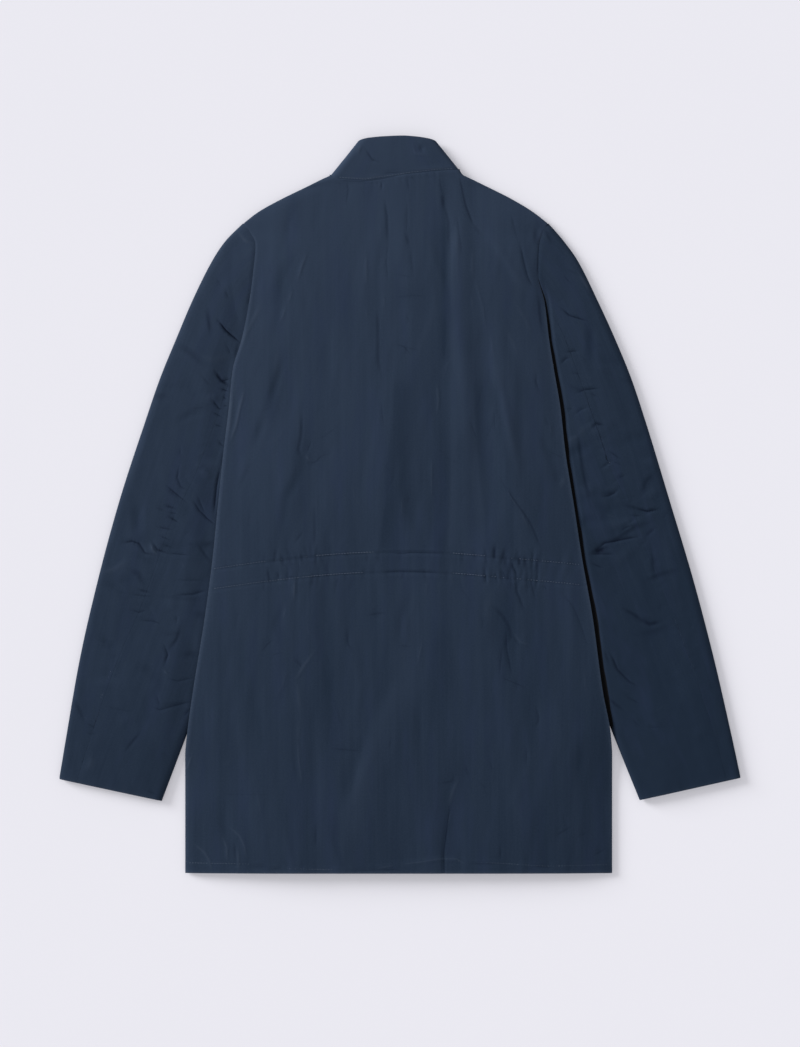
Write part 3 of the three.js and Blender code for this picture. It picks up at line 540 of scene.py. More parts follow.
def strays(seed, count, low, high, height, half_width, length, heading, spread):
    """Small creases scattered over a rectangle of cloth."""
    chance = np.random.default_rng(seed)
    made = []
    for _ in range(count):
        centre = chance.uniform(low, high)
        angle = heading + chance.normal(0, spread)
        half = length * chance.uniform(0.3, 1.0) / 2
        step = half * np.array([math.cos(angle), math.sin(angle)])
        bend = half * chance.uniform(-0.25, 0.25) * np.array([-math.sin(angle), math.cos(angle)])
        made.append((height * chance.uniform(-1, 1), half_width * chance.uniform(0.7, 1.5),
                     [tuple(centre - step), tuple(centre + bend), tuple(centre + step)]))
    return made


# ---- painted light and streaks -------------------------------------------------------------
# A painted light band is written like a crease; its height is how much paler it is painted there, and
# below 0 how much darker it is painted as shade.

# Painted light: the cloth is painted paler towards the collar and towards the left.
PAINTED_LIGHT_BY_Y = ([-424, -250, 100, 235, 400], [0.29, 0.35, 0.66, 0.75, 1.0])
PAINTED_LIGHT_BY_X = -0.00045
# Painted shade: both sleeves are painted darker than the body, the right one most.
SLEEVE_PAINTED_SHADE = {"left": -0.13, "right": -0.31}
PAINTED_LIGHT_BANDS = [
    (-0.26, (5, 36), [(-4, 150), (-8, 80), (-14, 40), (-15, 0), (-24, -60)]),
    (-0.27, (36, 4), [(57, 330), (57, 60), (55, 0), (52, -60)]),
    (-0.3, (8, 5), [(50, 380), (51, 330), (52, 230), (50, 160)]),
    (0.18, (4, 26), [(60, 320), (58, 60), (56, 0), (53, -60)]),
    (0.13, (26, 4), [(82, 180), (86, 90), (91, 40), (97, -20)]),
    (-0.22, (4, 22), [(85, 150), (88, 90), (92, 40), (98, -10), (102, -64)]),
    (-0.22, (22, 6), [(108, 150), (117, 90), (122, 50), (127, 0), (128, -60)]),
    (0.12, (5, 26), [(108, 170), (119, 120), (126, 84), (138, 20)]),
    (0.12, (4, 18), [(95, 320), (110, 298), (135, 258), (152, 236)]),
    (-0.16, (14, 4), [(-118, 292), (-134, 262), (-146, 222)]),
    (-0.18, 22, [(-120, 292), (-146, 222)]), (-0.18, 20, [(-122, 190), (-147, 117), (-161, 88)]),
    (0.12, 16, [(-45, 310), (-45, 232)]), (-0.18, 20, [(-113, 106), (-115, 43), (-137, -47)]),
    (-0.10, 30, [(-22, -66), (50, -64)]), (-0.2, 16, [(116, -89), (124, -180)]),
    (0.24, (16, 28), [(2, -130), (2, -200), (-22, -262), (-40, -300), (-55, -345), (-58, -412)]),
    (-0.14, (22, 30), [(45, -110), (45, -260)]), (-0.14, 26, [(-78, -150), (-92, -300)]),
    (0.2, 9, [(-120, -190), (-115, -260), (-113, -320)]), (0.12, 18, [(130, 200), (150, 135)]),
    (0.12, (3, 14), [(-96, -240), (-94, -424)]), (-0.16, (26, 3), [(-40, -262), (-60, -340)]),
    (-0.18, 20, [(156, 310), (152, 252), (160, 203)]), (-0.25, 12, [(22, 410), (30, 408)]),
    (-0.16, 40, [(30, 424), (60, 395)]), (0.2, 6, [(-44, 414), (-49, 400)]),
    (-0.14, 40, [(-150, 335), (-105, 352)]), (-0.14, 40, [(120, 340), (160, 300)]),
    (0.12, 30, [(-60, 200), (-70, 60)]), (-0.12, 24, [(-5, 245), (22, 235)]),
    (-0.12, 30, [(150, -120), (160, -260)]),
]

FADED_STREAKS = [(0.05, 0.08, 8, 130, 101), (0.07, 0, 34, 150, 102)]

# Painted shade and highlight: troughs are painted darker and ridges paler, by this much for each
# millimetre.
CREASE_PAINTED_LIGHT = 0.22


def painted_light_and_streaks(x, y):
    """Painted light and random streaks, from 0 to 1: painted paler towards the collar and the left, with
    painted light and shade bands.
    """
    level = np.interp(y, *PAINTED_LIGHT_BY_Y) + PAINTED_LIGHT_BY_X * x
    return level + ripples(x, y, FADED_STREAKS) + lay_creases(x, y, PAINTED_LIGHT_BANDS)


# ---- form of the body ----------------------------------------------------------------------

def body_edge(side, y):
    """Distance from the centre line to the body's outline."""
    lower = follow(BODY_SIDE, "y", side, y)
    return np.where(y > SHOULDER_Y, follow(SHOULDER_LINE, "y", side, y), lower)


def over_sleeve(y):
    """1 where the side of the body lies on a sleeve, and 0 below the notch."""
    return smooth(NOTCH_Y - NOTCH_DROP, NOTCH_Y, y)


def side_seam_height(y):
    return mix(SIDE_SEAM_LOW, SIDE_SEAM_HIGH, over_sleeve(y))


def casing_top(x):
    return follow(WAIST_LINE, "x", "y", x)


def back_folds(x, y):
    """Height of the largest folds."""
    height = np.zeros_like(x)
    for start, end, half_width, lift in BACK_FOLDS:
        run_x, run_y = end[0] - start[0], end[1] - start[1]
        length = math.hypot(run_x, run_y)
        along = ((x - start[0]) * run_x + (y - start[1]) * run_y) / length
        aside = np.abs((x - start[0]) * run_y - (y - start[1]) * run_x) / length
        ends = smooth(-FOLD_FADE, FOLD_FADE, along) * smooth(-FOLD_FADE, FOLD_FADE, length - along)
        height += lift * ends * (1 - smooth(0, half_width, aside))
    return height


def back_edge_height(y):
    side = side_seam_height(y) + HALF_SEAM
    by_armhole = mix(side, BACK_AT_ARMHOLE, smooth(60, ARMHOLE_LOW_Y, y))
    return mix(by_armhole, SHOULDER_SEAM + HALF_SEAM, smooth(ARMHOLE_TOP_Y, SHOULDER_Y, y))


def sewn_creases(rows):
    """Puckers from rows of seed, path, pitch, reach, height, half width and turn."""
    return [crease for row in rows for crease in puckers(*row)]


def small_creases(rows):
    """Strays from rows of seed, count, lowest and highest corner, height, half width, length,
    heading and spread."""
    return [crease for row in rows for crease in strays(*row)]


# Gathers along both rows of the drawcord tunnel, deepest where the cord draws the cloth in.
WAIST_GATHERS = sewn_creases([
    (11, [(-160, -66), (-80, -57)], 8, 13, -0.7, 3.2, 0.25),
    (12, [(-160, -88), (-80, -80)], 8, 12, -0.7, 3.2, 0.25),
    (13, [(95, -60), (165, -66)], 6.5, 13, -1.1, 3.2, 0.25),
    (14, [(95, -81), (165, -88)], 6.5, 14, -1.2, 3.2, 0.25),
    (15, [(-80, -57), (95, -60)], 16, 8, -0.35, 3.5, 0.25),
    (16, [(-80, -80), (95, -81)], 16, 8, -0.35, 3.5, 0.25),
    (17, [(-205, -72), (-160, -66)], 12, 8, -0.4, 3.5, 0.25),
    (18, [(165, -66), (208, -69)], 12, 8, -0.4, 3.5, 0.25),
])
NECK_AND_HEM_PUCKERS = sewn_creases([
    (21, [(-76, 372), (-39, 369), (12, 376), (66, 379)], 11, 11, -0.5, 3.6, 0.2),
    (22, [(-240, -412), (-55, -418), (51, -408), (240, -414)], 15, 9, -0.35, 4, 0.35),
])
BACK_STRAYS = small_creases([
    (31, 110, (-235, -415), (235, 365), 0.3, 1.4, 34, math.pi / 2, 0.4),
    (33, 70, (-215, -415), (215, 365), 0.5, 8.5, 110, math.pi / 2, 0.16),
])
BACK_RIPPLES = [(0.55, 0.1, 31, 120, 41), (0.28, 0, 14, 60, 42), (0.1, -0.2, 7, 22, 43)]
BACK_LINES = BACK_CREASES + WAIST_GATHERS + BACK_STRAYS


def stitched(below, step=0.5):
    """A row of stitches pulled tight: a low lip above it and a sharp step down below it."""
    lip = 0.5 * step * (1 - smooth(0, 1.9, np.abs(below + 1.2)))
    return lip - step * (1 - smooth(0.2, 2.8, np.abs(below - 1.4)))


WELT_AT = 1.8


def welt(height, from_seam):
    """The low ridge that turned-in cloth makes beside a seam."""
    return height * (1 - smooth(0.4, WELT_AT, np.abs(from_seam - WELT_AT)))


def waist_tunnel(x, y):
    """The tunnel lies a little low between its two rows of stitches, which pull the cloth in."""
    top = casing_top(x)
    return stitched(top - y) + stitched(top - CASING_WIDTH - y, 0.45)


# How far above the hem its row of stitches runs: it wanders, as the hem lies uneven.
HEM_ROW = ([-247, -175, -135, -75, -25, 23, 51, 84, 116, 167, 244],
           [12, 11, 6, 4.5, 7, 14, 16.5, 13, 12, 8.5, 10])


def hem_line(x):
    return np.interp(x, *HEM_ROW)


def back_creases(x, y):
    return lay_creases(x, y, BACK_LINES + NECK_AND_HEM_PUCKERS)


def back_detail(x, y):
    """Creases, unevenness, the turned hem and the waist's tunnel, on top of the body's form."""
    hem = y - HEM_Y
    turned = 0.45 * (1 - smooth(hem_line(x), hem_line(x) + 2.5, hem))
    pressed = stitched(hem_line(x) - hem, 0.3)
    uneven = ripples(x, y, BACK_RIPPLES)
    return back_creases(x, y) + uneven + turned + pressed + waist_tunnel(x, y)


# How far the armholes and the left side roll down to the sleeves, and the right side curls up.
ARMHOLE_ROLL = 0.45
SIDE_ROLL = 1.0
SIDE_CURL = 0.3


def edge_turn(x, y, inwards):
    below = 1 - smooth(215, ARMHOLE_LOW_Y + 8, y)
    down = mix(ARMHOLE_ROLL, np.where(x < 0, SIDE_ROLL, 0), below)
    down = down * (1 - smooth(0, mix(2.2, 3.2, below), inwards))
    curled = (1 - smooth(0.2, 3.4, inwards)) * smooth(-330, -250, y)
    up = SIDE_CURL * below * (x > 0) * curled
    return (up - down) * (1 - smooth(305, SHOULDER_Y, y))


def back_body(x, y):
    """Height of the back without its creases: a low crown, rounded down to its edges."""
    edge = np.where(x < 0, body_edge("left", y), body_edge("right", y))
    low = back_edge_height(y)
    crown = mix(BACK_CROWN, BACK_AT_NECK, smooth(250, 365, y))
    swell = 1 - np.minimum(np.abs(x) / edge, 1) ** 4
    side = np.maximum(low, mix(low, BACK_AT_ARMHOLE, smooth(ARMHOLE_TOP_Y, 340, y)))
    body = mix(side, crown, swell)
    rounded = mix(low, body, roll(edge - np.abs(x), SHOULDER_ROLL * 2))
    return mix(body, rounded, smooth(ARMHOLE_TOP_Y, SHOULDER_Y, y)) + back_folds(x, y)


# Places of the back's rows: closer together at the hem, the waist and the neck.
BACK_ROW_Y = np.concatenate((
    np.linspace(HEM_Y, -400, 10)[:-1], np.linspace(-400, -104, 56)[:-1],
    np.linspace(-104, -40, 35)[:-1], np.linspace(-40, 250, 57)[:-1], np.linspace(250, 364, 32),
))
NECK_ROWS = 7

# Columns are closer together at the sides, by this share.
SIDE_CROWDING = 0.15

# The last row is tucked in under the collar's foot by this much, and lies this much lower.
NECK_TUCK = 1.6
NECK_TUCK_DROP = 1.1


def back_looks(x, y, edge, calm):
    """Wear on the hem, wear and a painted highlight on the sides, painted light, and the painted crease
    lines.
    """
    # The sides are paler partly from wear and partly from a painted highlight along the body's edges.
    worn_and_lit_sides = mix(0.8, 0.35, smooth(150, 250, y)) * np.exp(-edge / 2.0)
    on_hem = np.exp(-(y - HEM_Y) / 1.5)
    tone_and_painted_light = painted_light_and_streaks(x, y) + CREASE_PAINTED_LIGHT * calm * back_creases(x, y)
    return {"wear": worn_and_lit_sides + on_hem, "fade": tone_and_painted_light, **line_looks(x, y, BACK_LINES)}


def back_form(u, v):
    last = len(BACK_ROW_Y) - 1
    row = v * (last + NECK_ROWS + 1)
    y = np.interp(row, np.arange(last + 1), BACK_ROW_Y)
    to_neck = np.clip((row - last) / NECK_ROWS, 0, 1)
    across = u - SIDE_CROWDING * np.sin(2 * math.pi * u) / (2 * math.pi)
    left = -body_edge("left", mix(y, BACK_NECK["y"][0] - SEAM_GAP, to_neck))
    right = body_edge("right", mix(y, BACK_NECK["y"][-1] - SEAM_GAP, to_neck))
    x = mix(left, right, across)
    edge = np.minimum(x - left, right - x)
    neck_x = mix(BACK_NECK["x"][0], BACK_NECK["x"][-1], across)
    neck_y = follow(BACK_NECK, "x", "y", neck_x) - SEAM_GAP
    neck_z = mix(SHOULDER_SEAM + HALF_SEAM, BACK_AT_NECK, roll(edge, SHOULDER_ROLL / 2))
    y, z = mix(y, neck_y, to_neck), mix(back_body(x, y), neck_z, to_neck)
    calm = smooth(0, 9, edge) * (0.3 + 0.7 * smooth(0, 8, neck_y - y))
    at_collar = welt(0.25, neck_y - y) * smooth(2, 12, edge)
    z = z + calm * back_detail(x, y) + edge_turn(x, y, edge) + at_collar
    tucked = smooth(0, 1, row - last - NECK_ROWS)
    place = (x, y + NECK_TUCK * tucked, z - NECK_TUCK_DROP * tucked)
    return place, (x, place[1]), back_looks(x, y, edge, calm)


def casing_form(u, v):
    x = mix(-CASING_HALF, CASING_HALF, u)
    y = casing_top(x) - CASING_WIDTH * (1 - v)
    z = back_body(x, y) + back_detail(x, y) - CLOTH - 2 * SEAM_GAP
    wear = np.exp(-np.minimum(v, 1 - v) * CASING_WIDTH)
    return (x, y, z), (x, y), {"wear": wear, "fade": painted_light_and_streaks(x, y)}


# ---- form of the sleeves -------------------------------------------------------------------
# across runs from the underarm fold (0) to the outer fold (1) and along from armhole to cuff.

def armhole(side, y, is_top):
    """Distance from the centre line to the armhole seam, on a sleeve's top or bottom layer."""
    on_front = follow(FRONT_ARMHOLE, "y", side, y)
    hidden = follow(BACK_ARMHOLE, "y", side, y)
    on_back = np.where(y > BACK_ARMHOLE["y"][0], body_edge(side, y), hidden)
    return np.where(is_top, on_back, on_front)


def sleeve_place(side, across, along, is_top):
    """Where a point of the flat sleeve lies, and how wide the sleeve is there."""
    inner_y = mix(UNDERARM_Y, CUFF_INNER_Y[side], along)
    outer_y = mix(SHOULDER_Y, CUFF_OUTER_Y[side], along)
    inner_x = follow(SLEEVE_INNER, "y", side, inner_y)
    outer_x = follow(SLEEVE_OUTER, "y", side, outer_y)
    chord = mix(SLEEVE_INNER[side][0], SLEEVE_OUTER[side][0], across)
    bow = armhole(side, mix(UNDERARM_Y, SHOULDER_Y, across), is_top) - chord
    x = mix(inner_x, outer_x, across) + bow * (1 - along) ** 2 + SEAM_GAP / 2
    return x, mix(inner_y, outer_y, across), np.hypot(outer_x - inner_x, outer_y - inner_y)


def back_seam(side, along, aside=0.0):
    """The visible back seam of a sleeve, or the line that runs this far outside it."""
    across = follow(SLEEVE_SEAMS, "along", side, along)
    width = sleeve_place(side, across, along, True)[2]
    x, y = sleeve_place(side, across + aside / width, along, True)[:2]
    return SIGN[side] * x, y


def seam_puckers(side, seed):
    path = list(zip(*back_seam(side, np.linspace(0.2, 0.8, 15))))
    return sewn_creases([(seed, path, 9, 11, -0.26, 3.4, 0.45),
                         (seed + 1, path, 14, 9, 0.2, 3.6, 0.4)])


SEAM_PUCKERS = {"left": seam_puckers("left", 51), "right": seam_puckers("right", 61)}
SLEEVE_STRAYS = {
    "left": small_creases([
        (71, 80, (-390, -335), (-180, 310), 0.3, 1.4, 16, 0.1, 0.7),
        (73, 46, (-330, -150), (-195, 190), 0.75, 7.5, 46, 0.0, 0.5),
        (75, 20, (-390, -335), (-230, -150), 0.5, 8.5, 50, 0.1, 0.8),
    ]),
    "right": small_creases([
        (72, 80, (180, -335), (390, 310), 0.3, 1.4, 16, 0.1, 0.7),
        (74, 44, (195, -150), (320, 200), 0.7, 7.5, 46, 0.1, 0.5),
        (76, 18, (230, -335), (390, -150), 0.4, 8.5, 50, 0.1, 0.8),
    ]),
}
SLEEVE_RIPPLES = [(0.6, 0, 38, 62, 81), (0.3, 0.4, 17, 30, 82), (0.1, 0, 8, 11, 83)]
SLEEVE_LINES = {side: deeper(SLEEVE_CREASES[side], SLEEVE_DEPTH[side]) + SLEEVE_STRAYS[side]
                for side in SIGN}


def sleeve_creases(side, x, y):
    return lay_creases(x, y, SLEEVE_LINES[side] + SEAM_PUCKERS[side])


def sleeve_detail(side, x, y):
    """Creases and unevenness of a sleeve's top layer."""
    return sleeve_creases(side, x, y) + ripples(x, y, SLEEVE_RIPPLES)


# The sleeve head's edge is tucked in under the back by this much, and lies this much lower.
HEAD_TUCK = 1.4
HEAD_TUCK_DROP = 0.9


def sleeve_layer(side, y, beyond, along, from_fold, is_top):
    """Height of a sleeve's top or bottom layer, round at the folds."""
    at_seam = smooth(200, 262, y) * (1 - smooth(0, 0.3, along))
    free = mix(SLEEVE_UNDER, SLEEVE_FREE, smooth(*SLEEVE_RISE[side], beyond))
    top = np.maximum(free, mix(SLEEVE_UNDER, BACK_AT_ARMHOLE, at_seam))
    fold = (top + ON_FLOOR) / 2
    rounded = roll(from_fold, FOLD_REACH)
    crowned = 0.82 * rounded + 0.18 * smooth(0, 38, from_fold)
    return fold + np.where(is_top, (top - fold) * crowned, (ON_FLOOR - fold) * rounded)


def sleeve_point(side, across, along, is_top):
    x, y, width = sleeve_place(side, across, along, is_top)
    beyond = x - body_edge(side, y)
    from_fold = np.minimum(across, 1 - across) * width
    from_head = along * SLEEVE_LENGTH
    z = sleeve_layer(side, y, beyond, along, from_fold, is_top)
    shown = np.where(y > ARMHOLE_LOW_Y, smooth(0, 8, from_head), smooth(-1, 6, beyond))
    calm = np.where(is_top, smooth(0, FOLD_REACH, from_fold) * shown, 0)
    z = z + calm * sleeve_detail(side, SIGN[side] * x, y)
    head = smooth(ARMHOLE_LOW_Y - 7, ARMHOLE_LOW_Y + 8, y) * (1 - smooth(0, 3.5, from_head))
    tuck = np.where(is_top, head, 0)
    return x - HEAD_TUCK * tuck, y, z - HEAD_TUCK_DROP * tuck, width


def around_sleeve(share, first, last, tip, sections):
    """Distance from a sleeve's fold along its top layer, round the fold and along its bottom
    layer, all as shares of its width. first and last are the two seams, and tip the fold's reach."""
    flat_top, round_fold = sections
    turned = np.clip((share - flat_top) / round_fold, 0, 1) * math.pi
    on_bottom = np.clip((share - flat_top - round_fold) / (1 - flat_top - round_fold), 0, 1)
    away = tip * (1 - np.sin(turned))
    away = np.where(share < flat_top, mix(first, tip, share / flat_top), away)
    away = np.where(share > flat_top + round_fold, mix(tip, last, on_bottom), away)
    return away, share < flat_top + round_fold / 2


# Width of the strip of painted shade beside the body's right edge, where the body keeps the light off the
# sleeve.
SHADE_WIDTH = ([-262, -252, -240, -200, -100, -60, 60, 130, 165, 200, 222, 240, 252, 266],
               [3.0, 5.0, 6.0, 5.8, 5.0, 4.4, 4.4, 4.3, 4.0, 3.4, 2.7, 1.6, 1.0, 0.4])
SHADE_FADE = 1.1
FAR_FROM_SHADE = 9.0

# The two halves of a sleeve overlap by this much at both seams.
LAP = 0.8


def painted_shade_beside_body(side, x, y, is_top):
    """Distance beyond the body's edge in widths of the painted shade strip, which only the right has."""
    uneven = 1 + 0.16 * ripple(y, np.zeros_like(y), 17, 60, 44)
    beside = (x - body_edge(side, y)) / (uneven * np.interp(y, *SHADE_WIDTH))
    beside = np.maximum(beside, SHADE_FADE * (1 - smooth(-264, -238, y)))
    shaded = is_top & (y < SHADE_WIDTH[0][-1]) & (side == "right")
    return np.clip(np.where(shaded, beside, FAR_FROM_SHADE), -FAR_FROM_SHADE, FAR_FROM_SHADE)


def sleeve_looks(side, x, y, along, from_fold, is_top):
    """Wear on the cuff and the fold, painted light, painted shade on the folded edges and in the strip
    beside the body, and the painted crease lines.
    """
    own_x = SIGN[side] * x
    on_cuff = 0.6 * np.exp(-(1 - along) * SLEEVE_LENGTH / 2)
    tone_and_painted_light = painted_light_and_streaks(own_x, y) + SLEEVE_PAINTED_SHADE[side] + CREASE_PAINTED_LIGHT * sleeve_creases(side, own_x, y)
    return {
        "wear": on_cuff + 0.1 * np.exp(-from_fold / 3),
        # Painted shade along the sleeves' folded edges.
        "fade": tone_and_painted_light - 0.32 * np.exp(-from_fold / 2.5),
        "beside": painted_shade_beside_body(side, x, y, is_top),
        **line_looks(own_x, y, SLEEVE_LINES[side]),
    }


# Each half of a sleeve: the shares of it that lie flat on top and go round its fold, how near a
# seam it turns to its step, and its step there on the top and on the bottom layer.
UPPER_HALF = ((0.72, 0.12), (1.5, 5), (0.03, 0))
UNDER_HALF = ((0.8, 0.15), (0.8, 3.0), (-0.08, 0.2))


def sleeve_form(side, is_upper):
    """The upper half goes round the outer fold, and the under half round the underarm fold."""
    sections, turns, steps = UPPER_HALF if is_upper else UNDER_HALF

    def from_own_fold(across):
        return 1 - across if is_upper else across

    def form(u, v):
        along = 1 - v
        width = sleeve_place(side, 0.5, along, True)[2]
        first, last = (from_own_fold(follow(SLEEVE_SEAMS, "along", seam, along)) + LAP / width
                       for seam in (side, "front"))
        away, is_top = around_sleeve(u, first, last, FOLD_REACH / width, sections)
        x, y, z, width = sleeve_point(side, from_own_fold(away), along, is_top)
        at_seam = np.abs(np.where(is_top, first, last) - away) * width
        z = z + (1 - smooth(*turns, at_seam)) * np.where(is_top, *steps)
        grain = (np.where(is_top, -away, away) * width, along * SLEEVE_CUT)
        return (SIGN[side] * x, y, z), grain, sleeve_looks(side, x, y, along, away * width, is_top)
    return form


# ---- form of the fronts --------------------------------------------------------------------

UNDERARM_TURN = 28


def front_outer(side, y):
    """Distance from the centre line to the front's side seam, armhole or shoulder."""
    turn_y = UNDERARM_Y - UNDERARM_TURN
    edge = body_edge(side, np.full_like(y, turn_y))
    underarm = FRONT_ARMHOLE[side][-1]
    under = mix(edge, underarm, np.clip((y - turn_y) / UNDERARM_TURN, 0, 1)) - SEAM_GAP / 2
    by_armhole = follow(FRONT_ARMHOLE, "y", side, y) - SEAM_GAP / 2
    above = np.where(y <= SHOULDER_Y, by_armhole, body_edge(side, y))
    outer = np.where(y <= UNDERARM_Y, under, above)
    return np.where(y <= turn_y, body_edge(side, y), outer)


def front_inner(side, y):
    """Distance from the centre line to the neckline, or past the centre to the closing edge."""
    neck = follow(FRONT_NECK, "y", side, y)
    return np.where(y <= FRONT_NECK["y"][0], -FRONT_EDGE, neck)


def front_height(side, x, y):
    """The fronts lie on the floor, and rise to the closure, the sleeves, the side seams and the
    shoulders."""
    sleeve_edge = follow(SLEEVE_INNER, "y", side, y)
    beside = 1 - smooth(UNDERARM_Y, UNDERARM_Y + 35, y)
    on_sleeve = smooth(sleeve_edge - FRONT_RISE, sleeve_edge - 1, x) * over_sleeve(y) * beside
    seam = side_seam_height(y) - HALF_SEAM - ON_FLOOR
    edge = body_edge(side, y)
    at_seam = smooth(edge - FRONT_RISE, edge, x) * beside
    shoulder = (SHOULDER_SEAM - HALF_SEAM - ON_FLOOR) * smooth(SHOULDER_Y - 12, SHOULDER_Y + 12, y)
    shoulder = shoulder * (1 - smooth(0, SHOULDER_ROLL, edge - x))
    placket = (LEFT_PLACKET if side == "left" else RIGHT_PLACKET) - ON_FLOOR
    closure = placket * (1 - smooth(PLACKET_FLAT, PLACKET_FLAT + PLACKET_RAMP, x))
    parts = ((FRONT_OVER_SLEEVE - ON_FLOOR) * on_sleeve, seam * at_seam, shoulder, closure)
    return ON_FLOOR + np.maximum.reduce(parts)


# Each buttonhole is a row of its own in the left front, open between these distances across.
SLIT = (-19.5, 3.0)
SLIT_HALF = 0.6
BUTTON_Y = [(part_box(f"button_{k}")[0].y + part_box(f"button_{k}")[1].y) / 2 / MM for k in range(1, 7)]
FRONT_NECK_LOW_Y = 286.5
FRONT_ROW_Y = np.sort(np.concatenate((
    np.linspace(HEM_Y, 285, 148), [FRONT_NECK_LOW_Y], np.linspace(FRONT_NECK_LOW_Y, 376.8, 26)[1:],
    [y + side * SLIT_HALF for y in BUTTON_Y for side in (-1, 1)],
)))


def front_form(side):
    def form(u, v):
        y = np.interp(v * (len(FRONT_ROW_Y) - 1), np.arange(len(FRONT_ROW_Y)), FRONT_ROW_Y)
        inner, outer = front_inner(side, y), front_outer(side, y)
        x = mix(inner, outer, u)
        z = front_height(side, x, y)
        rim = np.minimum(np.minimum(x - inner, outer - x), y - HEM_Y)
        x = SIGN[side] * x
        return (x, y, z), (x, y), {"wear": np.exp(-rim / 2), "fade": painted_light_and_streaks(x, y) - 0.1}
    return form


# ---- form of the collar --------------------------------------------------------------------

COLLAR_RIPPLES = [(0.3, 0, 16, 20, 91)]


def collar_place(u, v):
    """Where a point of the plain collar lies, and how far round its foot it is."""
    run = np.hypot(np.diff(COLLAR["base_x"]), np.diff(COLLAR["base_y"]))
    run = np.hypot(run, np.diff(COLLAR["base_z"]))
    rows = dict(COLLAR, run=np.concatenate(([0], np.cumsum(run))))
    at = u * rows["run"][-1]
    return [mix(follow(rows, "run", f"base_{axis}", at), follow(rows, "run", f"top_{axis}", at), v)
            for axis in "xyz"] + [at]


def collar_form(u, v):
    x, y, z, at = collar_place(u, v)
    on_back = smooth(6.5, 8, z)
    up = v * COLLAR_HEIGHT
    inside = smooth(0, 0.12, v) * smooth(0, 0.12, 1 - v)
    uneven = ripples(x, y, COLLAR_RIPPLES) + lay_creases(x, y, COLLAR_CREASES)
    bulge = 0.7 * np.sin(math.pi * np.clip(v, 0, 1)) ** 0.8
    sunk_foot = 0.5 * (1 - smooth(0, 0.1, v))
    z = z + on_back * (welt(0.22, up) + uneven * inside + bulge - sunk_foot)
    wear = 0.6 * np.exp(-(COLLAR_HEIGHT - up) / 1.5)
    own_x, own_y = (np.where(on_back > 0.5, value, 0) for value in (x, y))
    lines = line_looks(own_x, own_y, COLLAR_CREASES)
    return (x, y, z), (at, up), {"wear": wear, "fade": painted_light_and_streaks(x, y), **lines}


# ---- making the pieces ---------------------------------------------------------------------

def finish_mesh(name, bm):
    """Make an object of a bmesh."""
    mesh = bpy.data.meshes.new(name)
    bm.to_mesh(mesh)
    bm.free()
    mesh.shade_smooth()
    made = bpy.data.objects.new(name, mesh)
    bpy.context.scene.collection.objects.link(made)
    return made


# What a piece has where its form says nothing else: no painted shade strip and no painted crease lines.
PLAIN_LOOKS = {"beside": FAR_FROM_SHADE}
for number in range(LINE_SETS):
    PLAIN_LOOKS.update({f"line_{number}": FAR_FROM_LINE, f"dark_{number}": 0.0})

EDGE_ROUND = 0.3
EDGE_ANGLE = 55


def set_grain(mesh, grain):
    """The cloth's own run of warp and weft, as a UV map."""
    corners = np.empty(len(mesh.loops), int)
    mesh.loops.foreach_get("vertex_index", corners)
    grain_map = mesh.uv_layers.new(name="grain")
    grain_map.data.foreach_set("uv", (np.stack(grain, 1)[corners] * MM).ravel())


def set_looks(mesh, looks):
    """Wear, painted light and shade, and painted crease lines, as attributes."""
    plain = {name: np.full(len(mesh.vertices), value) for name, value in PLAIN_LOOKS.items()}
    for name, values in {**plain, **looks}.items():
        layer = mesh.attributes.new(name, "FLOAT", "POINT")
        layer.data.foreach_set("value", values.astype(np.float32))


def give_wall(made, wall):
    """An even thickness, with its edges a little rounded."""
    solid = made.modifiers.new("wall", "SOLIDIFY")
    solid.thickness = wall * MM
    solid.offset = 0
    edge = made.modifiers.new("edge", "BEVEL")
    edge.width = EDGE_ROUND * MM
    edge.segments = 2
    edge.limit_method = "ANGLE"
    edge.angle_limit = math.radians(EDGE_ANGLE)
    edge.use_clamp_overlap = False
    edge.harden_normals = True


def cloth_piece(name, grid, form, wall=CLOTH):
    """A grid of cloth moved onto its form."""
    bm = bmesh.new()
    bmesh.ops.create_grid(bm, x_segments=grid[0], y_segments=grid[1], size=0.5)
    made = finish_mesh(name, bm)
    mesh = made.data
    places = np.empty(len(mesh.vertices) * 3)
    mesh.vertices.foreach_get("co", places)
    places = places.reshape(-1, 3)
    points, grain, looks = form(places[:, 0] + 0.5, places[:, 1] + 0.5)
    mesh.vertices.foreach_set("co", (np.stack(points, 1) * MM).ravel())
    set_grain(mesh, grain)
    set_looks(mesh, looks)
    mesh.update()
    give_wall(made, wall)
    return made


def in_slit(middle):
    from_button = min(abs(middle.y - y) for y in BUTTON_Y)
    return SLIT[0] < middle.x < SLIT[1] and from_button < SLIT_HALF / 2


def cut_slits(made):
    """Open the buttonholes."""
    bm = bmesh.new()
    bm.from_mesh(made.data)
    open_faces = [face for face in bm.faces if in_slit(face.calc_center_median() / MM)]
    bmesh.ops.delete(bm, geom=open_faces, context="FACES")
    bm.to_mesh(made.data)
    bm.free()


# Columns and rows of each grid.
GRIDS = {
    "back": (238, len(BACK_ROW_Y) + NECK_ROWS),
    "waist_casing": (150, 10),
    "collar": (340, 24),
    "front": (76, len(FRONT_ROW_Y) - 1),
    "upper_sleeve": (116, 290),
    "under_sleeve": (90, 290),
}

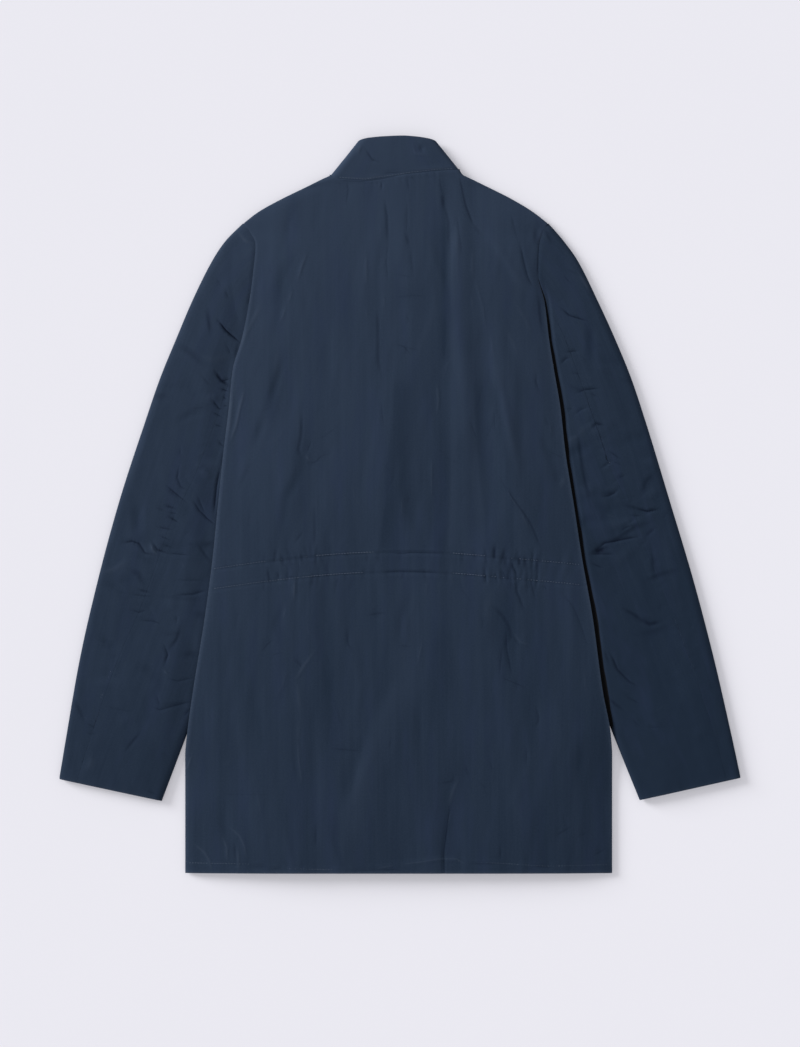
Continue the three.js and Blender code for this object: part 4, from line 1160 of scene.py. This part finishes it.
cloth = {
    "back": cloth_piece("back_cloth", GRIDS["back"], back_form),
    "waist_casing": cloth_piece("waist_casing_cloth", GRIDS["waist_casing"], casing_form),
    "collar": cloth_piece("collar_cloth", GRIDS["collar"], collar_form, COLLAR_WALL),
}
for side in SIGN:
    for part, form in (("front", front_form(side)), ("upper_sleeve", sleeve_form(side, True)),
                       ("under_sleeve", sleeve_form(side, False))):
        node = f"{part}_{side}"
        cloth[node] = cloth_piece(f"{node}_cloth", GRIDS[part], form)

cut_slits(cloth["front_left"])


# ---- stitches ------------------------------------------------------------------------------

STITCH_LENGTH = 2.5
STITCH_PITCH = 3.2
THREAD_RADIUS = 0.26

# How far a stitch's middle is above the cloth, sunk and proud, in its own radii.
THREAD_LIFT = (-0.7, 0.5)
PLAIN_PROUD = 0.6


def surface_of(made):
    """The outside of a piece with its wall, to lay thread on."""
    scene_state = bpy.context.evaluated_depsgraph_get()
    return BVHTree.FromObject(made.evaluated_get(scene_state), scene_state)


def on_surface(surface, x, y, up):
    """Where a straight line through (x, y) meets the cloth, from above or from below."""
    return surface.ray_cast(Vector((x * MM, y * MM, 0.05 * up.z)), -up)[0]


def thread_bit(bm, first, second, up, radius, lift=0.0):
    """One rounded length of thread from the first point to the second, raised by lift."""
    forward = (second - first).normalized()
    aside = up.cross(forward).normalized()
    turn = Matrix((forward, aside, forward.cross(aside))).transposed().to_4x4()
    size = Matrix.Diagonal(((second - first).length / 2, radius, radius, 1))
    middle = (first + second) / 2 + up * lift
    bmesh.ops.create_uvsphere(bm, u_segments=6, v_segments=4, radius=1,
                              matrix=Matrix.Translation(middle) @ turn @ size
                              @ Matrix.Rotation(math.pi / 2, 4, "Y"))


def stitch_row(bm, surface, path, from_above):
    """Short lengths of thread, end to end along a path of (x, y, proud): a proud of 1 lies on top
    of the cloth and 0 is sunk in it."""
    path = np.array(path, float)
    marks = distances_along(path)
    up = Vector((0, 0, 1 if from_above else -1))
    for number in range(int(marks[-1] / STITCH_PITCH)):
        at = (number + 0.5) * STITCH_PITCH
        ends = [[np.interp(at + half, marks, path[:, k]) for k in (0, 1)]
                for half in (-STITCH_LENGTH / 2, STITCH_LENGTH / 2)]
        hits = [on_surface(surface, x, y, up) for x, y in ends]
        if None in hits:
            continue
        lift = mix(*THREAD_LIFT, np.interp(at, marks, path[:, 2])) * THREAD_RADIUS * MM
        thread_bit(bm, *hits, up, THREAD_RADIUS * MM, lift)


def stitches(name, rows):
    """One piece of thread work: rows of (cloth piece, path, seen from above)."""
    bm = bmesh.new()
    for piece, path, from_above in rows:
        stitch_row(bm, surface_of(cloth[piece]), path, from_above)
    return finish_mesh(name, bm)


# How proud the rows of stitches lie, by place: 1 on top of the cloth, and below 0 out of sight.
UPPER_ROW_PROUD = ([-199, -158, -150, -100, -93, -34, -26, 55, 63, 93, 99, 126, 132, 185, 205],
                   [0.2, 0.2, -0.3, -0.3, 1, 0.8, -1, -1, 1, 0.9, -0.4, -0.4, 0.2, 0.1, 0])
LOWER_ROW_PROUD = ([-218, -170, -118, -108, -101, -46, -38, 58, 66, 95, 101, 145, 152, 209],
                   [0.2, 0.1, 0.3, 0, 1, 0.8, -1, -1, 1, 0.9, -0.3, 0, 0.3, 0.1])
HEM_ROW_PROUD = ([-200, -150, -90, -50, 60, 110], [0.1, -0.3, 0.1, -0.4, -0.4, 0])
COLLAR_ROW_PROUD = 0.1
SLEEVE_ROW_PROUD = {
    "left": ([0.1, 0.6, 0.62, 0.64, 0.76, 0.78, 0.8, 0.83, 0.85],
             [-1.0, -1.0, -0.1, -0.9, -0.9, 0.1, -0.6, 0.1, -1.0]),
    "right": ([0.1, 0.3, 0.36, 0.5, 0.55], [-1.0, -0.5, -0.4, -0.7, -1.0]),
}

# The rows at the waist stop this far from the sides.
ROW_FROM_SIDE = 3


def waist_row(drop, proud):
    """From side to side, this far below the top of the drawcord tunnel."""
    waist_y = np.array(WAIST_LINE["y"][0])
    left, right = -body_edge("left", waist_y), body_edge("right", waist_y)
    x = np.linspace(left + ROW_FROM_SIDE, right - ROW_FROM_SIDE, 90)
    return list(zip(x, casing_top(x) - drop, np.interp(x, *proud)))


def collar_row():
    """Along the collar's foot on the back, just above its seam."""
    x = np.linspace(-70, 63, 60)
    foot = np.interp(x, [-73, -40, 12, 40, 61.5], [374.4, 371.9, 379.9, 382.9, 384.3])
    return list(zip(x, foot + 1.9, np.full_like(x, COLLAR_ROW_PROUD)))


def sleeve_row(side):
    """Just outside the sleeve's back seam."""
    along = np.linspace(0.12, 0.995, 80)
    x, y = back_seam(side, along, aside=2.4)
    return list(zip(x, y, np.interp(along, *SLEEVE_ROW_PROUD[side])))


def hem_row():
    x = np.linspace(-243, 240, 120)
    return list(zip(x, HEM_Y + hem_line(x), np.interp(x, *HEM_ROW_PROUD)))


def front_row(side, start, end):
    """A straight row on a front, seen from below. start and end count x from the centre line."""
    return (f"front_{side}", [(SIGN[side] * x, y, PLAIN_PROUD) for x, y in (start, end)], False)


thread = [
    stitches("waist_stitches", [
        ("back", waist_row(-0.2, UPPER_ROW_PROUD), True),
        ("back", waist_row(CASING_WIDTH - 0.2, LOWER_ROW_PROUD), True)]),
    stitches("hem_stitches", [("back", hem_row(), True)]),
    stitches("collar_stitches", [("collar", collar_row(), True)]),
    stitches("sleeve_stitches", [
        (f"upper_sleeve_{side}", sleeve_row(side), True) for side in SIGN]),
    stitches("placket_stitches", [
        front_row(side, (22, HEM_Y + 4), (22, 284)) for side in SIGN]),
    stitches("front_hem_stitches", [
        front_row(side, (24, HEM_Y + 11), (240, HEM_Y + 11)) for side in SIGN]),
]


# ---- buttons and buttonholes ---------------------------------------------------------------
# The buttons are sewn to the right front and come out through slits in the left, face down.

BUTTON_THICK = 2.5
BUTTON_PLATE = 4.6
BUTTON_SIDES = 48
HOLE_RADIUS = 1.1
HOLE_SIDES = 14
HOLE_REACH = 2.1086
SAME_POINT = 0.02

# Half a section of the button around its pierced middle: distance from the axis, and depth from
# its back (0) to the highest part of its face.
BUTTON_SECTION = [
    (BUTTON_PLATE, 1.5), (5.4, 1.62), (6.3, 2.05), (7.0, 2.4), (7.7, BUTTON_THICK), (8.6, 2.42),
    (9.4, 2.1), (9.85, 1.6), (10.0, 1.15), (9.8, 0.65), (9.2, 0.25), (8.2, 0.06), (6.5, 0.0),
    (BUTTON_PLATE, 0.0),
]
HOLE_TURNS = [math.pi * (k / 2 + 0.25) for k in range(4)]

# Radii of the threads that cross the holes, of the shank at its foot and its top, and of the
# purl and the bars round a buttonhole.
CROSS_RADIUS = 0.3
CROSS_APART = 0.42
SHANK_RADII = (0.75, 0.55)
PURL_RADIUS = 0.3
BAR_RADIUS = 0.45

# The purl's pitch, how far it reaches from the slit, and where the bars lie past its ends.
PURL_PITCH = 0.7
PURL_REACH = (0.25, 2.1)
BAR_PAST = 0.9
BAR_HALF = 2.2


def button_rows():
    """Centres of the buttons, from the collar down."""
    return [(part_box(f"button_{k}")[0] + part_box(f"button_{k}")[1]) / 2 / MM for k in range(1, 7)]


def each_once(things):
    return list(dict.fromkeys(things))


def edges_of(verts):
    return each_once(edge for vert in verts for edge in vert.link_edges)


def pierced_disc(bm, z):
    """A flat disc with four holes; returns the rings of edges round the holes."""
    rim = bmesh.ops.create_circle(bm, segments=BUTTON_SIDES, radius=BUTTON_PLATE)["verts"]
    rings = [edges_of(rim)]
    for turn in HOLE_TURNS:
        place = Matrix.Translation((HOLE_REACH * math.cos(turn), HOLE_REACH * math.sin(turn), 0))
        hole = bmesh.ops.create_circle(bm, segments=HOLE_SIDES, radius=HOLE_RADIUS, matrix=place)
        rings.append(edges_of(hole["verts"]))
    every = [edge for ring in rings for edge in ring]
    bmesh.ops.triangle_fill(bm, use_beauty=True, use_dissolve=False, edges=every)
    verts = each_once(vert for edge in every for vert in edge.verts)
    bmesh.ops.translate(bm, verts=verts, vec=(0, 0, z))
    return rings[1:]


def button(name, centre):
    """Four-hole button: a pierced, sunk middle inside a rounded rim, its face towards the floor."""
    bm = bmesh.new()
    front, back = pierced_disc(bm, BUTTON_SECTION[0][1]), pierced_disc(bm, 0)
    for upper, lower in zip(front, back):
        bmesh.ops.bridge_loops(bm, edges=upper + lower)
    line = [bm.verts.new((r, 0, z)) for r, z in BUTTON_SECTION]
    edges = [bm.edges.new(pair) for pair in zip(line[:-1], line[1:])]
    bmesh.ops.spin(bm, geom=line + edges, cent=(0, 0, 0), axis=(0, 0, 1), angle=2 * math.pi,
                   steps=BUTTON_SIDES, use_merge=True)
    bmesh.ops.remove_doubles(bm, verts=bm.verts, dist=SAME_POINT)
    bmesh.ops.recalc_face_normals(bm, faces=bm.faces)
    face_down = Matrix.Rotation(math.pi, 4, "X")
    place = Matrix.Translation((centre.x * MM, centre.y * MM, BUTTON_THICK * MM))
    bmesh.ops.transform(bm, verts=bm.verts, matrix=place @ Matrix.Scale(MM, 4) @ face_down)
    return finish_mesh(name, bm)


def cross_stitches(bm, centre):
    """Thread crossed through the four holes, three lengths each way."""
    down = Vector((0, 0, -1))
    plate = BUTTON_THICK - BUTTON_SECTION[0][1]
    for turn in HOLE_TURNS[:2]:
        along = Vector((math.cos(turn), math.sin(turn), 0))
        aside = Vector((-along.y, along.x, 0))
        for shift in (-CROSS_APART, 0, CROSS_APART):
            middle = (Vector((centre.x, centre.y, plate)) + aside * shift) * MM
            half = along * HOLE_REACH * MM
            thread_bit(bm, middle - half, middle + half, down, CROSS_RADIUS * MM, 0.16 * MM)


def shank(bm, centre):
    """A short stem of thread up to the right front."""
    start, top = BUTTON_THICK - 0.2, RIGHT_PLACKET - CLOTH / 2 + 0.2
    place = Matrix.Translation(Vector((centre.x, centre.y, (start + top) / 2)) * MM)
    bmesh.ops.create_cone(bm, segments=16, radius1=SHANK_RADII[0] * MM, radius2=SHANK_RADII[1] * MM,
                          depth=(top - start) * MM, matrix=place)


def sewn_between(bm, surface, first, second, radius, lift):
    """A length of thread on the underside between two places, if there is cloth at both."""
    up = Vector((0, 0, -1))
    ends = [on_surface(surface, x, y, up) for x, y in (first, second)]
    if None not in ends:
        thread_bit(bm, *ends, up, radius * MM, lift * MM)


def buttonhole(bm, surface, centre):
    """Close purl stitches along both sides of the slit and a bar across each end."""
    inner, outer = (SLIT_HALF + reach for reach in PURL_REACH)
    for side in (-1, 1):
        for x in np.arange(SLIT[0] - 0.6, SLIT[1] + 0.7, PURL_PITCH):
            ends = (x, centre.y + side * inner), (x, centre.y + side * outer)
            sewn_between(bm, surface, *ends, PURL_RADIUS, 0.05)
    for x in (SLIT[0] - BAR_PAST, SLIT[1] + BAR_PAST):
        ends = (x, centre.y - BAR_HALF), (x, centre.y + BAR_HALF)
        sewn_between(bm, surface, *ends, BAR_RADIUS, 0.15)


def button_threads():
    bm = bmesh.new()
    left = surface_of(cloth["front_left"])
    for centre in button_rows():
        cross_stitches(bm, centre)
        shank(bm, centre)
        buttonhole(bm, left, centre)
    return finish_mesh("button_threads", bm)


buttons = {f"button_{number}": button(f"horn_button_{number}", centre)
           for number, centre in enumerate(button_rows(), 1)}
thread.append(button_threads())


# ---- materials -----------------------------------------------------------------------------

SHEEN_ROUGHNESS = 0.45
SHEEN_TINT = (0.55, 0.68, 1.0, 1)


class Surface:
    """A Principled shader with short ways to add and join nodes."""

    def __init__(self, name, roughness, specular, sheen=0.0):
        self.material = bpy.data.materials.new(name)
        self.material.use_nodes = True
        self.nodes = self.material.node_tree.nodes
        self.shader = self.nodes["Principled BSDF"]
        self.shader.inputs["Roughness"].default_value = roughness
        self.shader.inputs["Specular IOR Level"].default_value = specular
        if sheen:
            self.shader.inputs["Sheen Weight"].default_value = sheen
            self.shader.inputs["Sheen Roughness"].default_value = SHEEN_ROUGHNESS
            self.shader.inputs["Sheen Tint"].default_value = SHEEN_TINT

    def node(self, kind, settings=None, **inputs):
        made = self.nodes.new(kind)
        for name, value in (settings or {}).items():
            setattr(made, name, value)
        for name, value in inputs.items():
            socket = made.inputs[int(name[1:]) if name[0] == "_" else name.replace("_", " ")]
            if isinstance(value, bpy.types.NodeSocket):
                self.join(value, socket)
            else:
                socket.default_value = value
        return made

    def join(self, start, end):
        self.material.node_tree.links.new(start, end)

    def place(self, source, scale):
        """Coordinates scaled by axis. source is a UV map's name, or None for the object's own."""
        if source:
            start = self.node("ShaderNodeUVMap", {"uv_map": source}).outputs["UV"]
        else:
            start = self.node("ShaderNodeTexCoord").outputs["Object"]
        return self.node("ShaderNodeMapping", Vector=start, Scale=scale).outputs["Vector"]

    def noise(self, source, scale, detail, roughness):
        """Uneven blotches, with this many to a metre along each axis."""
        return self.node("ShaderNodeTexNoise", Vector=self.place(source, scale), Scale=1.0,
                         Detail=detail, Roughness=roughness).outputs["Fac"]

    def between(self, value, low, high, new_low=0.0, new_high=1.0, kind="LINEAR"):
        """A value's range from low to high, drawn out to a new range."""
        made = self.node("ShaderNodeMapRange", {"interpolation_type": kind}, Value=value)
        for name, number in (("From Min", low), ("From Max", high),
                             ("To Min", new_low), ("To Max", new_high)):
            made.inputs[name].default_value = number
        return made.outputs["Result"]

    def attribute(self, name):
        return self.node("ShaderNodeAttribute", {"attribute_name": name}).outputs["Fac"]

    def maths(self, operation, first, second):
        """One step of arithmetic."""
        return self.node("ShaderNodeMath", {"operation": operation}, _0=first, _1=second).outputs[0]

    def twill(self, source, scale, **inputs):
        """Slanting bands, as a twill weave or a twisted thread has."""
        return self.node(
            "ShaderNodeTexWave", {"wave_type": "BANDS", "bands_direction": "DIAGONAL"},
            Vector=self.place(source, (1, 1, 1)), Scale=scale, **inputs).outputs["Fac"]

    def blend(self, share, first, second):
        made = self.node("ShaderNodeMix", {"data_type": "RGBA"})
        self.join(share, made.inputs["Factor"])
        for socket, value in ((made.inputs[6], first), (made.inputs[7], second)):
            if isinstance(value, bpy.types.NodeSocket):
                self.join(value, socket)
            else:
                socket.default_value = value
        return made.outputs[2]

    def bump(self, height, strength, distance, normal=None):
        made = self.node("ShaderNodeBump", Height=height, Strength=strength, Distance=distance)
        if normal:
            self.join(normal, made.inputs["Normal"])
        return made.outputs["Normal"]

    def finish(self, colour, roughness=None, normal=None):
        self.join(colour, self.shader.inputs["Base Color"])
        if roughness:
            self.join(roughness, self.shader.inputs["Roughness"])
        if normal:
            self.join(normal, self.shader.inputs["Normal"])
        return self.material


# Colours of the navy cloth, of its thread and of the horn. The cloth's deep and pale ends also carry
# painted light and shade, its worn colour also paints highlights, and the crease and shade colours are
# painted shade.
NAVY_DEEP_AND_SHADED = (0.0078, 0.0171, 0.0345, 1)
NAVY_PALE_AND_LIT = (0.0216, 0.0358, 0.0640, 1)
WORN_AND_HIGHLIT = (0.050, 0.068, 0.100, 1)
BLUER = (0.0165, 0.0275, 0.0640, 1)
PAINTED_CREASE_SHADE = (0.0002, 0.0035, 0.0140, 1)
IN_SHADE = (0.0008, 0.0010, 0.0016, 1)
THREAD_DEEP = (0.06, 0.08, 0.12, 1)
THREAD_PALE = (0.13, 0.165, 0.225, 1)
HORN_DEEP = (0.006, 0.009, 0.017, 1)
HORN_PALE = (0.030, 0.036, 0.050, 1)
HORN_SPECK = (0.07, 0.075, 0.085, 1)


def painted_crease_lines(made):
    """Painted shade along the sharp bottoms (above 0) and painted highlight along the crests (below 0) of
    the creases, added over all the sets.
    """
    total = 0.0
    for number in range(LINE_SETS):
        away = made.maths("ABSOLUTE", made.attribute(f"line_{number}"), 0.0)
        near = made.between(away, 0.1, 1.0, 1.0, 0.0, "SMOOTHSTEP")
        total = made.maths("ADD", made.maths("MULTIPLY", near, made.attribute(f"dark_{number}")), total)
    return total


def navy_twill(name):
    """Fine washed twill: a slanting weave and faint streaks along the warp, with painted light that is
    paler towards the collar and the left, edges paler from wear and a painted highlight, painted shade and
    highlight on creases, and painted shade where the body keeps the light off the sleeve."""
    made = Surface(name, roughness=0.8, specular=0.12, sheen=0.06)
    twill = made.twill("grain", 620.0, Distortion=0.8, Detail=1.0)
    streak = made.noise("grain", (420, 9, 1), 4, 0.6)
    band = made.noise("grain", (95, 4.5, 1), 3, 0.6)
    slub = made.noise("grain", (90, 700, 1), 2, 0.5)
    cloud = made.noise("grain", (14, 5, 1), 4, 0.55)
    speckle = made.noise("grain", (520, 520, 1), 2, 0.6)
    tone = made.attribute("fade")
    for pattern, low, high, swing in ((streak, 0.25, 0.75, 0.07), (band, 0.3, 0.7, 0.09),
                                      (cloud, 0.25, 0.75, 0.16), (speckle, 0.25, 0.75, 0.14),
                                      (twill, 0, 1, 0.07)):
        tone = made.maths("ADD", tone, made.between(pattern, low, high, -swing, swing))
    colour = made.blend(tone, NAVY_DEEP_AND_SHADED, NAVY_PALE_AND_LIT)
    dyed = made.noise("grain", (34, 7, 1), 3, 0.6)
    colour = made.blend(made.between(dyed, 0.5, 0.7, 0, 0.3), colour, BLUER)
    rubbed = made.noise("grain", (260, 260, 1), 3, 0.6)
    patchy = made.maths("MULTIPLY", made.attribute("wear"), made.between(rubbed, 0.35, 0.7, 0.15, 0.5))
    colour = made.blend(patchy, colour, WORN_AND_HIGHLIT)
    # Painted shade along the bottoms of sharp creases, and painted highlight along their crests.
    lines = painted_crease_lines(made)
    colour = made.blend(lines, colour, PAINTED_CREASE_SHADE)
    colour = made.blend(made.maths("MULTIPLY", lines, -0.5), colour, WORN_AND_HIGHLIT)
    # Painted shade: the strip beside the body's right edge is coloured almost black.
    colour = made.blend(made.between(made.attribute("beside"), 0.9, 1.0), IN_SHADE, colour)
    roughness = made.between(cloud, 0.2, 0.8, 0.74, 0.86)
    normal = made.bump(twill, 0.35, 0.00012)
    normal = made.bump(slub, 0.25, 0.00012, normal)
    normal = made.bump(streak, 0.08, 0.00015, normal)
    return made.finish(colour, roughness, normal)


def sewing_thread():
    """Twisted polyester, a little paler than the cloth."""
    made = Surface("navy_thread", roughness=0.6, specular=0.35, sheen=0.1)
    twist = made.twill(None, 900.0, Distortion=1.0)
    along = made.noise(None, (60, 60, 60), 2, 0.5)
    tone = made.maths("MULTIPLY", twist, made.between(along, 0.3, 0.7, 0.5, 1.0))
    colour = made.blend(tone, THREAD_DEEP, THREAD_PALE)
    return made.finish(colour, None, made.bump(twist, 0.4, 0.00008))


def dark_horn():
    """Polished navy resin made to look like horn, with cloudy streaks and a few fine scratches."""
    made = Surface("navy_horn", roughness=0.22, specular=0.5)
    made.shader.inputs["Coat Weight"].default_value = 0.25
    made.shader.inputs["Coat Roughness"].default_value = 0.12
    cloud = made.noise(None, (160, 420, 160), 5, 0.6)
    speck = made.noise(None, (900, 900, 900), 2, 0.5)
    scratch = made.noise(None, (2600, 300, 900), 2, 0.6)
    colour = made.blend(made.between(cloud, 0.35, 0.7), HORN_DEEP, HORN_PALE)
    colour = made.blend(made.between(speck, 0.6, 0.8, 0, 0.35), colour, HORN_SPECK)
    roughness = made.between(scratch, 0.3, 0.75, 0.18, 0.38)
    return made.finish(colour, roughness, made.bump(scratch, 0.12, 0.00004))


shell = navy_twill("navy_shell_twill")
thread_finish = sewing_thread()
horn = dark_horn()


# ---- joining the pieces to the frame -------------------------------------------------------

def area_of(made):
    """Flat size and area of a piece: the reach of its grain map, and its middle surface."""
    mesh = made.data
    grain = np.empty(len(mesh.loops) * 2)
    mesh.uv_layers["grain"].data.foreach_get("uv", grain)
    reach = np.ptp(grain.reshape(-1, 2), axis=0)
    area = sum(face.area for face in mesh.polygons)
    return tuple(float(size) for size in reach), float(area)


# Each sheet's flat size, that of its smallest rectangle, and its area are worked out here, but not
# compared.
for node, made in cloth.items():
    made.data.materials.append(shell)
    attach(made, "root")
    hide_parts(node)
    flat, area = area_of(made)
for made in thread:
    made.data.materials.append(thread_finish)
    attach(made, "root")
for node, made in buttons.items():
    made.data.materials.append(horn)
    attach(made, "root")
    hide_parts(node)


# ---- floor, light and camera ---------------------------------------------------------------

# These are in metres.
FLOOR_REACH = 12.0
FLOOR_DROP = 0.0002
FLOOR_DEEP = (0.555, 0.550, 0.588, 1)
FLOOR_PALE = (0.564, 0.559, 0.597, 1)
FLOOR_GLOW = (0.985, 0.975, 1.045, 1)

VIEW_TALL = 1.204
VIEW_Y = -0.0219
CLOTH_TOP = 0.006
LENS = 135.0
SENSOR = 36.0


def plain_floor():
    """A pale sheet lit a little from below, as a light table is, so that shadows stay soft."""
    bm = bmesh.new()
    bmesh.ops.create_grid(bm, x_segments=1, y_segments=1, size=FLOOR_REACH)
    bmesh.ops.translate(bm, verts=bm.verts, vec=(0, 0, -FLOOR_DROP))
    floor = finish_mesh("floor", bm)
    paper = Surface("pale_floor", roughness=0.9, specular=0.1)
    paper.shader.inputs["Emission Color"].default_value = FLOOR_GLOW
    paper.shader.inputs["Emission Strength"].default_value = 0.26
    grain = paper.noise(None, (3, 3, 3), 2, 0.5)
    floor.data.materials.append(paper.finish(paper.blend(grain, FLOOR_DEEP, FLOOR_PALE)))


def sun(name, azimuth, elevation, strength, softness):
    """A sun that stands at an azimuth and an elevation, with its softness as an angle."""
    light = bpy.data.lights.new(name, "SUN")
    light.energy = strength
    light.angle = math.radians(softness)
    made = bpy.data.objects.new(name, light)
    bpy.context.scene.collection.objects.link(made)
    turn, rise = math.radians(azimuth), math.radians(elevation)
    towards = Vector((math.cos(turn) * math.cos(rise), math.sin(turn) * math.cos(rise),
                      math.sin(rise)))
    made.rotation_euler = towards.to_track_quat("Z", "Y").to_euler()


def studio():
    sun("key_light", azimuth=152, elevation=19.5, strength=4.04, softness=26)
    world = bpy.data.worlds.new("studio")
    world.use_nodes = True
    background = world.node_tree.nodes["Background"]
    background.inputs["Color"].default_value = (0.98, 0.98, 1.0, 1)
    background.inputs["Strength"].default_value = 0.60
    bpy.context.scene.world = world
    bpy.context.scene.view_settings.view_transform = "Standard"


def camera_above():
    """Straight down from far enough that the cloth shows no perspective worth the name."""
    data = bpy.data.cameras.new("camera")
    data.lens = LENS
    data.sensor_width = SENSOR
    data.clip_end = 50
    made = bpy.data.objects.new("camera", data)
    bpy.context.scene.collection.objects.link(made)
    made.location = (0, VIEW_Y, VIEW_TALL * LENS / SENSOR + CLOTH_TOP)
    bpy.context.scene.camera = made


plain_floor()
studio()
camera_above()
